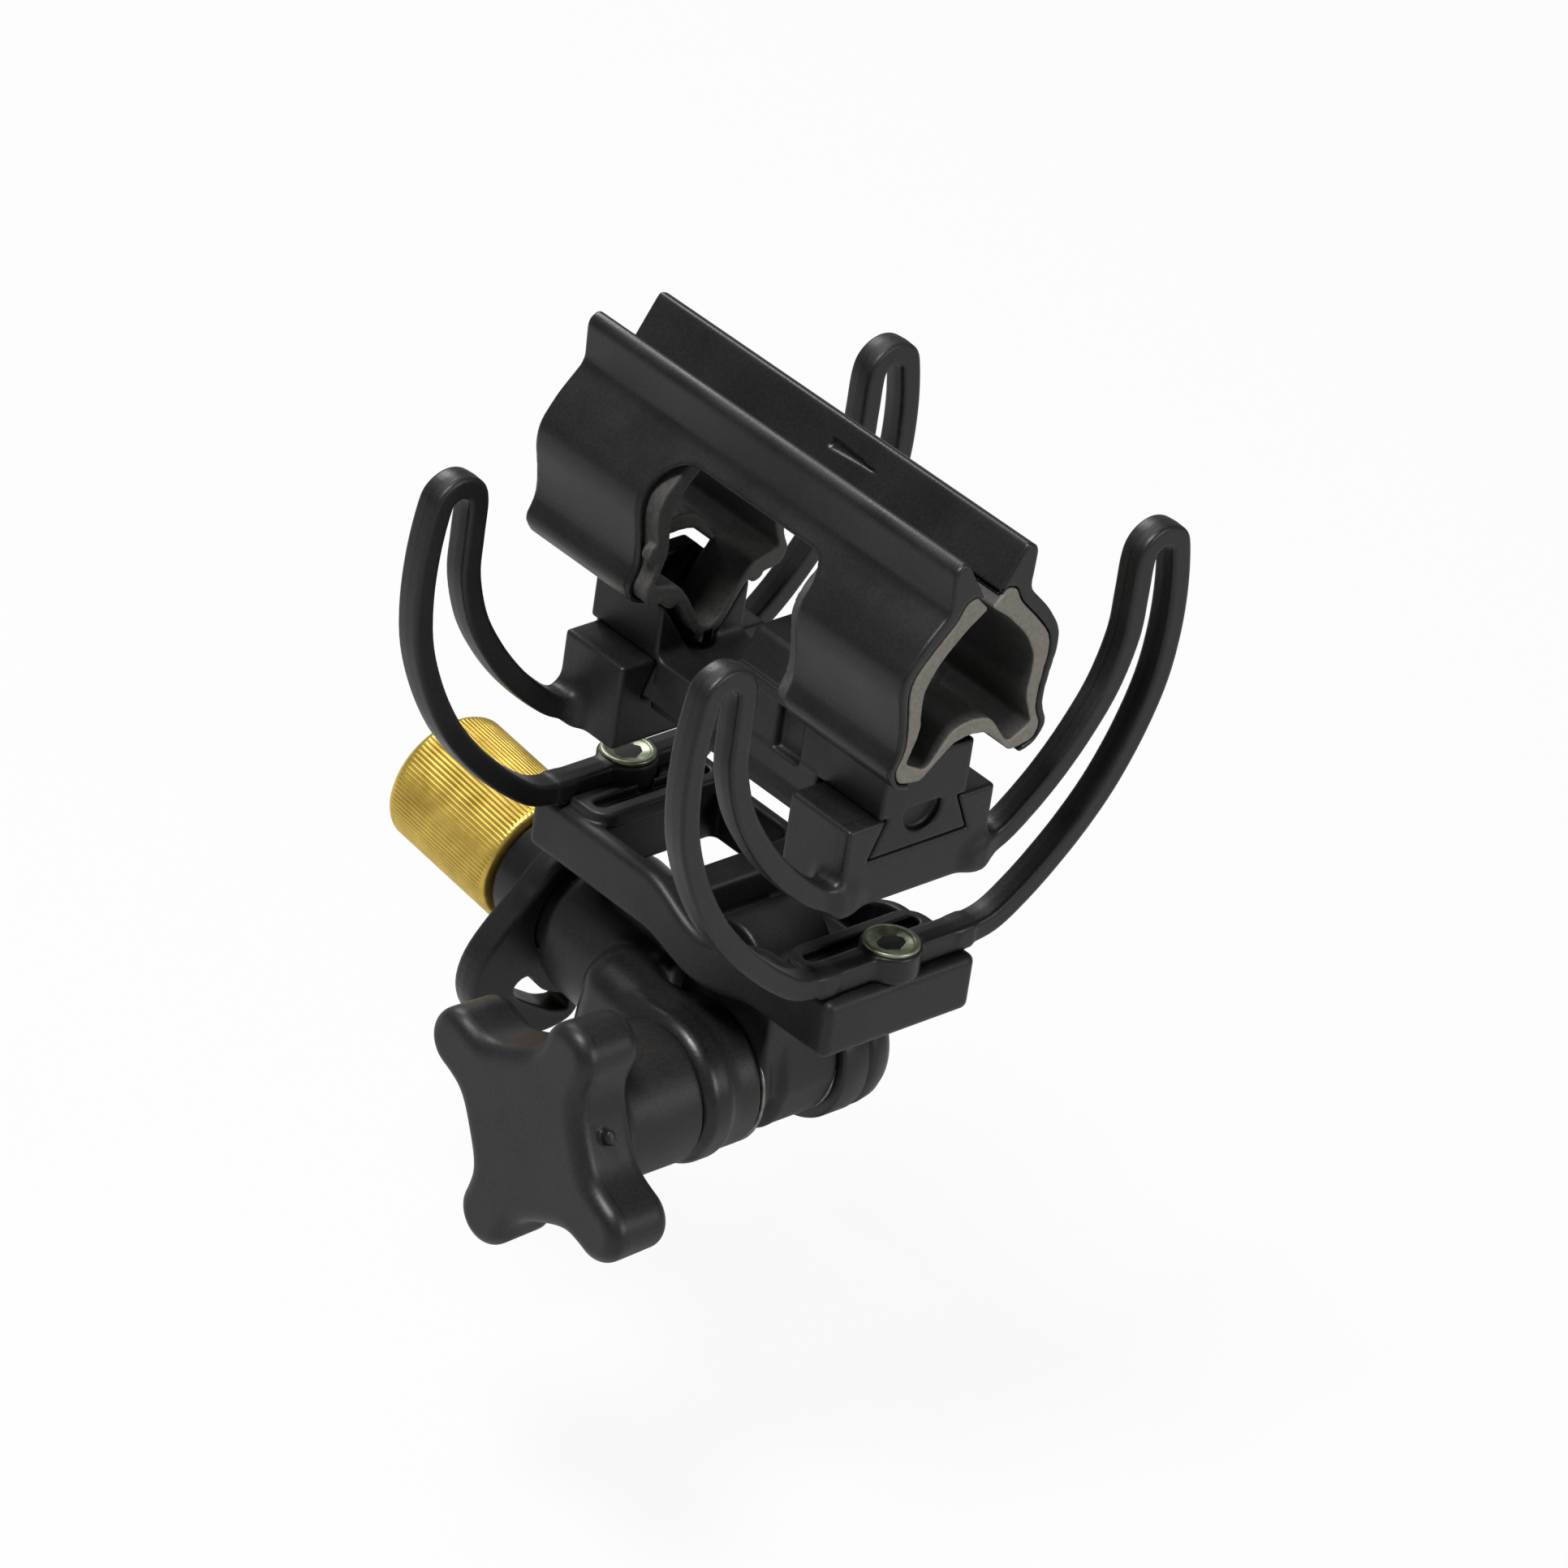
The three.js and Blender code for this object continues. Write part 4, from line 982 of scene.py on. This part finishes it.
# ---- Hinge cap and washers ---------------------------------------------------------------------
# A round nylon cap with a captive nut closes the far side of the hinge, and a thin satin steel washer runs
# on each face of the knuckle.
CAP_R = 11.2
CAP_START = KNUCKLE_HALF_X + 0.7
CAP_OUT = 17.2
NUT_R = 5.65
WASHER_R = 10.5
BOLT_HOLE_R = 3.2
CAP_STEPS = 120
NUT_START = CAP_OUT - 6.4
lathe_to_x = np.array([[0, 0, 1], [1, 0, 0], [0, 1, 0]], float)
cap_angle = np.linspace(0, 2 * np.pi, CAP_STEPS, endpoint=False)
cap_ring = np.ones(CAP_STEPS)
nut_hexagon = hexagon_round(NUT_R, cap_angle)
cap_rows = [
    (BOLT_HOLE_R * cap_ring, CAP_START), ((CAP_R - 0.5) * cap_ring, CAP_START),
    ((CAP_R - 0.12) * cap_ring, CAP_START + 0.15), (CAP_R * cap_ring, CAP_START + 0.5),
    (CAP_R * cap_ring, CAP_START + 4.3), ((CAP_R - 0.08) * cap_ring, CAP_START + 4.5),
    ((CAP_R - 0.35) * cap_ring, CAP_START + 4.6), ((CAP_R - 0.4) * cap_ring, CAP_START + 4.8),
    ((CAP_R - 0.15) * cap_ring, CAP_START + 4.95), ((CAP_R - 0.15) * cap_ring, CAP_START + 6.4),
    ((CAP_R - 0.4) * cap_ring, CAP_OUT - 2.2), ((CAP_R - 1.0) * cap_ring, CAP_OUT - 1.1),
    ((CAP_R - 1.9) * cap_ring, CAP_OUT - 0.35), ((CAP_R - 3.0) * cap_ring, CAP_OUT),
    (1.08 * nut_hexagon, CAP_OUT), (1.02 * nut_hexagon, CAP_OUT - 0.12), (nut_hexagon, CAP_OUT - 0.4),
    (nut_hexagon, NUT_START), (BOLT_HOLE_R * cap_ring, NUT_START), (BOLT_HOLE_R * cap_ring, CAP_START),
]
cap_net = ringed(cap_rows, lathe_to_x)
piece_of(
    "hinge_cap_moulding", cap_net, hinge_place, nylon("cap_nylon", 0.011, 2300, 0.4),
    "bar", "hinge_cap",
)

steel_finish = metal(
    "satin_steel", 900, 3, (0.3, 0.7, (0.16, 0.15, 0.14), (0.26, 0.25, 0.23)),
    (0.3, 0.5), (0.15, 0.00004), 1.0,
)
WASHER_T = 0.5
for side, start, rim in (
    ("left", -KNUCKLE_HALF_X - WASHER_T - 0.1, WASHER_R), ("right", KNUCKLE_HALF_X + 0.1, WASHER_R - 0.8),
):
    washer_rows = [
        (BOLT_HOLE_R * cap_ring, start), ((rim - 0.1) * cap_ring, start), (rim * cap_ring, start + 0.1),
        (rim * cap_ring, start + WASHER_T - 0.1), ((rim - 0.1) * cap_ring, start + WASHER_T),
        (BOLT_HOLE_R * cap_ring, start + WASHER_T), (BOLT_HOLE_R * cap_ring, start),
    ]
    piece_of(
        f"running_washer_{side}", ringed(washer_rows, lathe_to_x), hinge_place, steel_finish,
        "bar", f"hinge_washer_{side}",
    )

# ---- Hidden fixings ----------------------------------------------------------------------------
# The bolt, nut, adapter screw and threaded inserts sit inside the mouldings. Their CAD solids already have
# the right shape, so they only take their metal.
for node_name, finish in (
    ("clamp_bolt", steel_finish), ("hinge_nut", steel_finish), ("adapter_screw", steel_finish),
    ("lyre_insert_front", adapter_finish), ("lyre_insert_rear", adapter_finish),
):
    node = frame["nodes"][node_name]
    node.data.materials.clear()
    node.data.materials.append(finish)

# ---- Studio ------------------------------------------------------------------------------------
# The mount hangs by its stand thread over a pale floor, under a large soft key from the upper left, a weaker
# fill from the right and an even white surround.
FLOOR_DROP_M = 0.045
floor_z = cad_low.z - FLOOR_DROP_M
floor_mesh = bpy.data.meshes.new("studio_floor")
FLOOR_HALF_M = 4
floor_mesh.from_pydata(
    [(sx * FLOOR_HALF_M, sy * FLOOR_HALF_M, floor_z) for sx, sy in ((-1, -1), (1, -1), (1, 1), (-1, 1))],
    [], [(0, 1, 2, 3)],
)
floor = bpy.data.objects.new("studio_floor", floor_mesh)
bpy.context.scene.collection.objects.link(floor)
floor_paint = bpy.data.materials.new("pale_floor")
floor_paint.use_nodes = True
floor_nodes = floor_paint.node_tree.nodes
floor_link = floor_paint.node_tree.links.new
floor_nodes["Principled BSDF"].inputs["Base Color"].default_value = (0.55, 0.55, 0.55, 1)
floor_nodes["Principled BSDF"].inputs["Roughness"].default_value = 0.9
glow = floor_nodes.new("ShaderNodeEmission")
glow.inputs["Color"].default_value = (1, 1, 1, 1)
seen = floor_nodes.new("ShaderNodeLightPath")
share = floor_nodes.new("ShaderNodeMath")
share.operation = "MULTIPLY"
share.inputs[1].default_value = 0.92
floor_link(seen.outputs["Is Camera Ray"], share.inputs[0])
floor_mix = floor_nodes.new("ShaderNodeMixShader")
floor_link(share.outputs["Value"], floor_mix.inputs["Fac"])
floor_link(floor_nodes["Principled BSDF"].outputs["BSDF"], floor_mix.inputs[1])
floor_link(glow.outputs["Emission"], floor_mix.inputs[2])
floor_link(floor_mix.outputs["Shader"], floor_nodes["Material Output"].inputs["Surface"])
floor_mesh.materials.append(floor_paint)

world = bpy.data.worlds.new("surround")
world.use_nodes = True
bpy.context.scene.world = world
world_nodes = world.node_tree.nodes
world_link = world.node_tree.links.new
world_nodes["Background"].inputs["Color"].default_value = (1, 1, 1, 1)
white = world_nodes.new("ShaderNodeBackground")
white.inputs["Color"].default_value = (1, 1, 1, 1)
white.inputs["Strength"].default_value = 1.0
rays = world_nodes.new("ShaderNodeLightPath")
gloss_share = world_nodes.new("ShaderNodeMapRange")
gloss_share.inputs["To Min"].default_value = 0.14
gloss_share.inputs["To Max"].default_value = 0.26
world_link(rays.outputs["Is Glossy Ray"], gloss_share.inputs["Value"])
world_link(gloss_share.outputs["Result"], world_nodes["Background"].inputs["Strength"])
camera_or_gloss = world_nodes.new("ShaderNodeMath")
camera_or_gloss.operation = "MAXIMUM"
world_link(rays.outputs["Is Camera Ray"], camera_or_gloss.inputs[0])
world_link(rays.outputs["Is Transmission Ray"], camera_or_gloss.inputs[1])
world_mix = world_nodes.new("ShaderNodeMixShader")
world_link(camera_or_gloss.outputs["Value"], world_mix.inputs["Fac"])
world_link(world_nodes["Background"].outputs["Background"], world_mix.inputs[1])
world_link(white.outputs["Background"], world_mix.inputs[2])
world_link(world_mix.outputs["Shader"], world_nodes["World Output"].inputs["Surface"])

subject = upper_place @ Vector((0, 0, 5))
lamps = (
    ("key_lamp", (-0.42, -0.05, 0.95), 0.26, 13.0),
    ("fill_lamp", (0.35, -0.95, 0.35), 0.26, 4.0),
    ("top_lamp", (0.2, 0.75, 0.7), 0.34, 5.0),
)
for lamp_name, offset, size, power in lamps:
    lamp_data = bpy.data.lights.new(lamp_name, "AREA")
    lamp_data.shape = "SQUARE"
    lamp_data.size = size
    lamp_data.energy = power
    lamp = bpy.data.objects.new(lamp_name, lamp_data)
    lamp.location = subject + Vector(offset)
    lamp.rotation_euler = (-Vector(offset)).to_track_quat("-Z", "Y").to_euler()
    bpy.context.scene.collection.objects.link(lamp)
bpy.context.scene.view_settings.view_transform = "Standard"
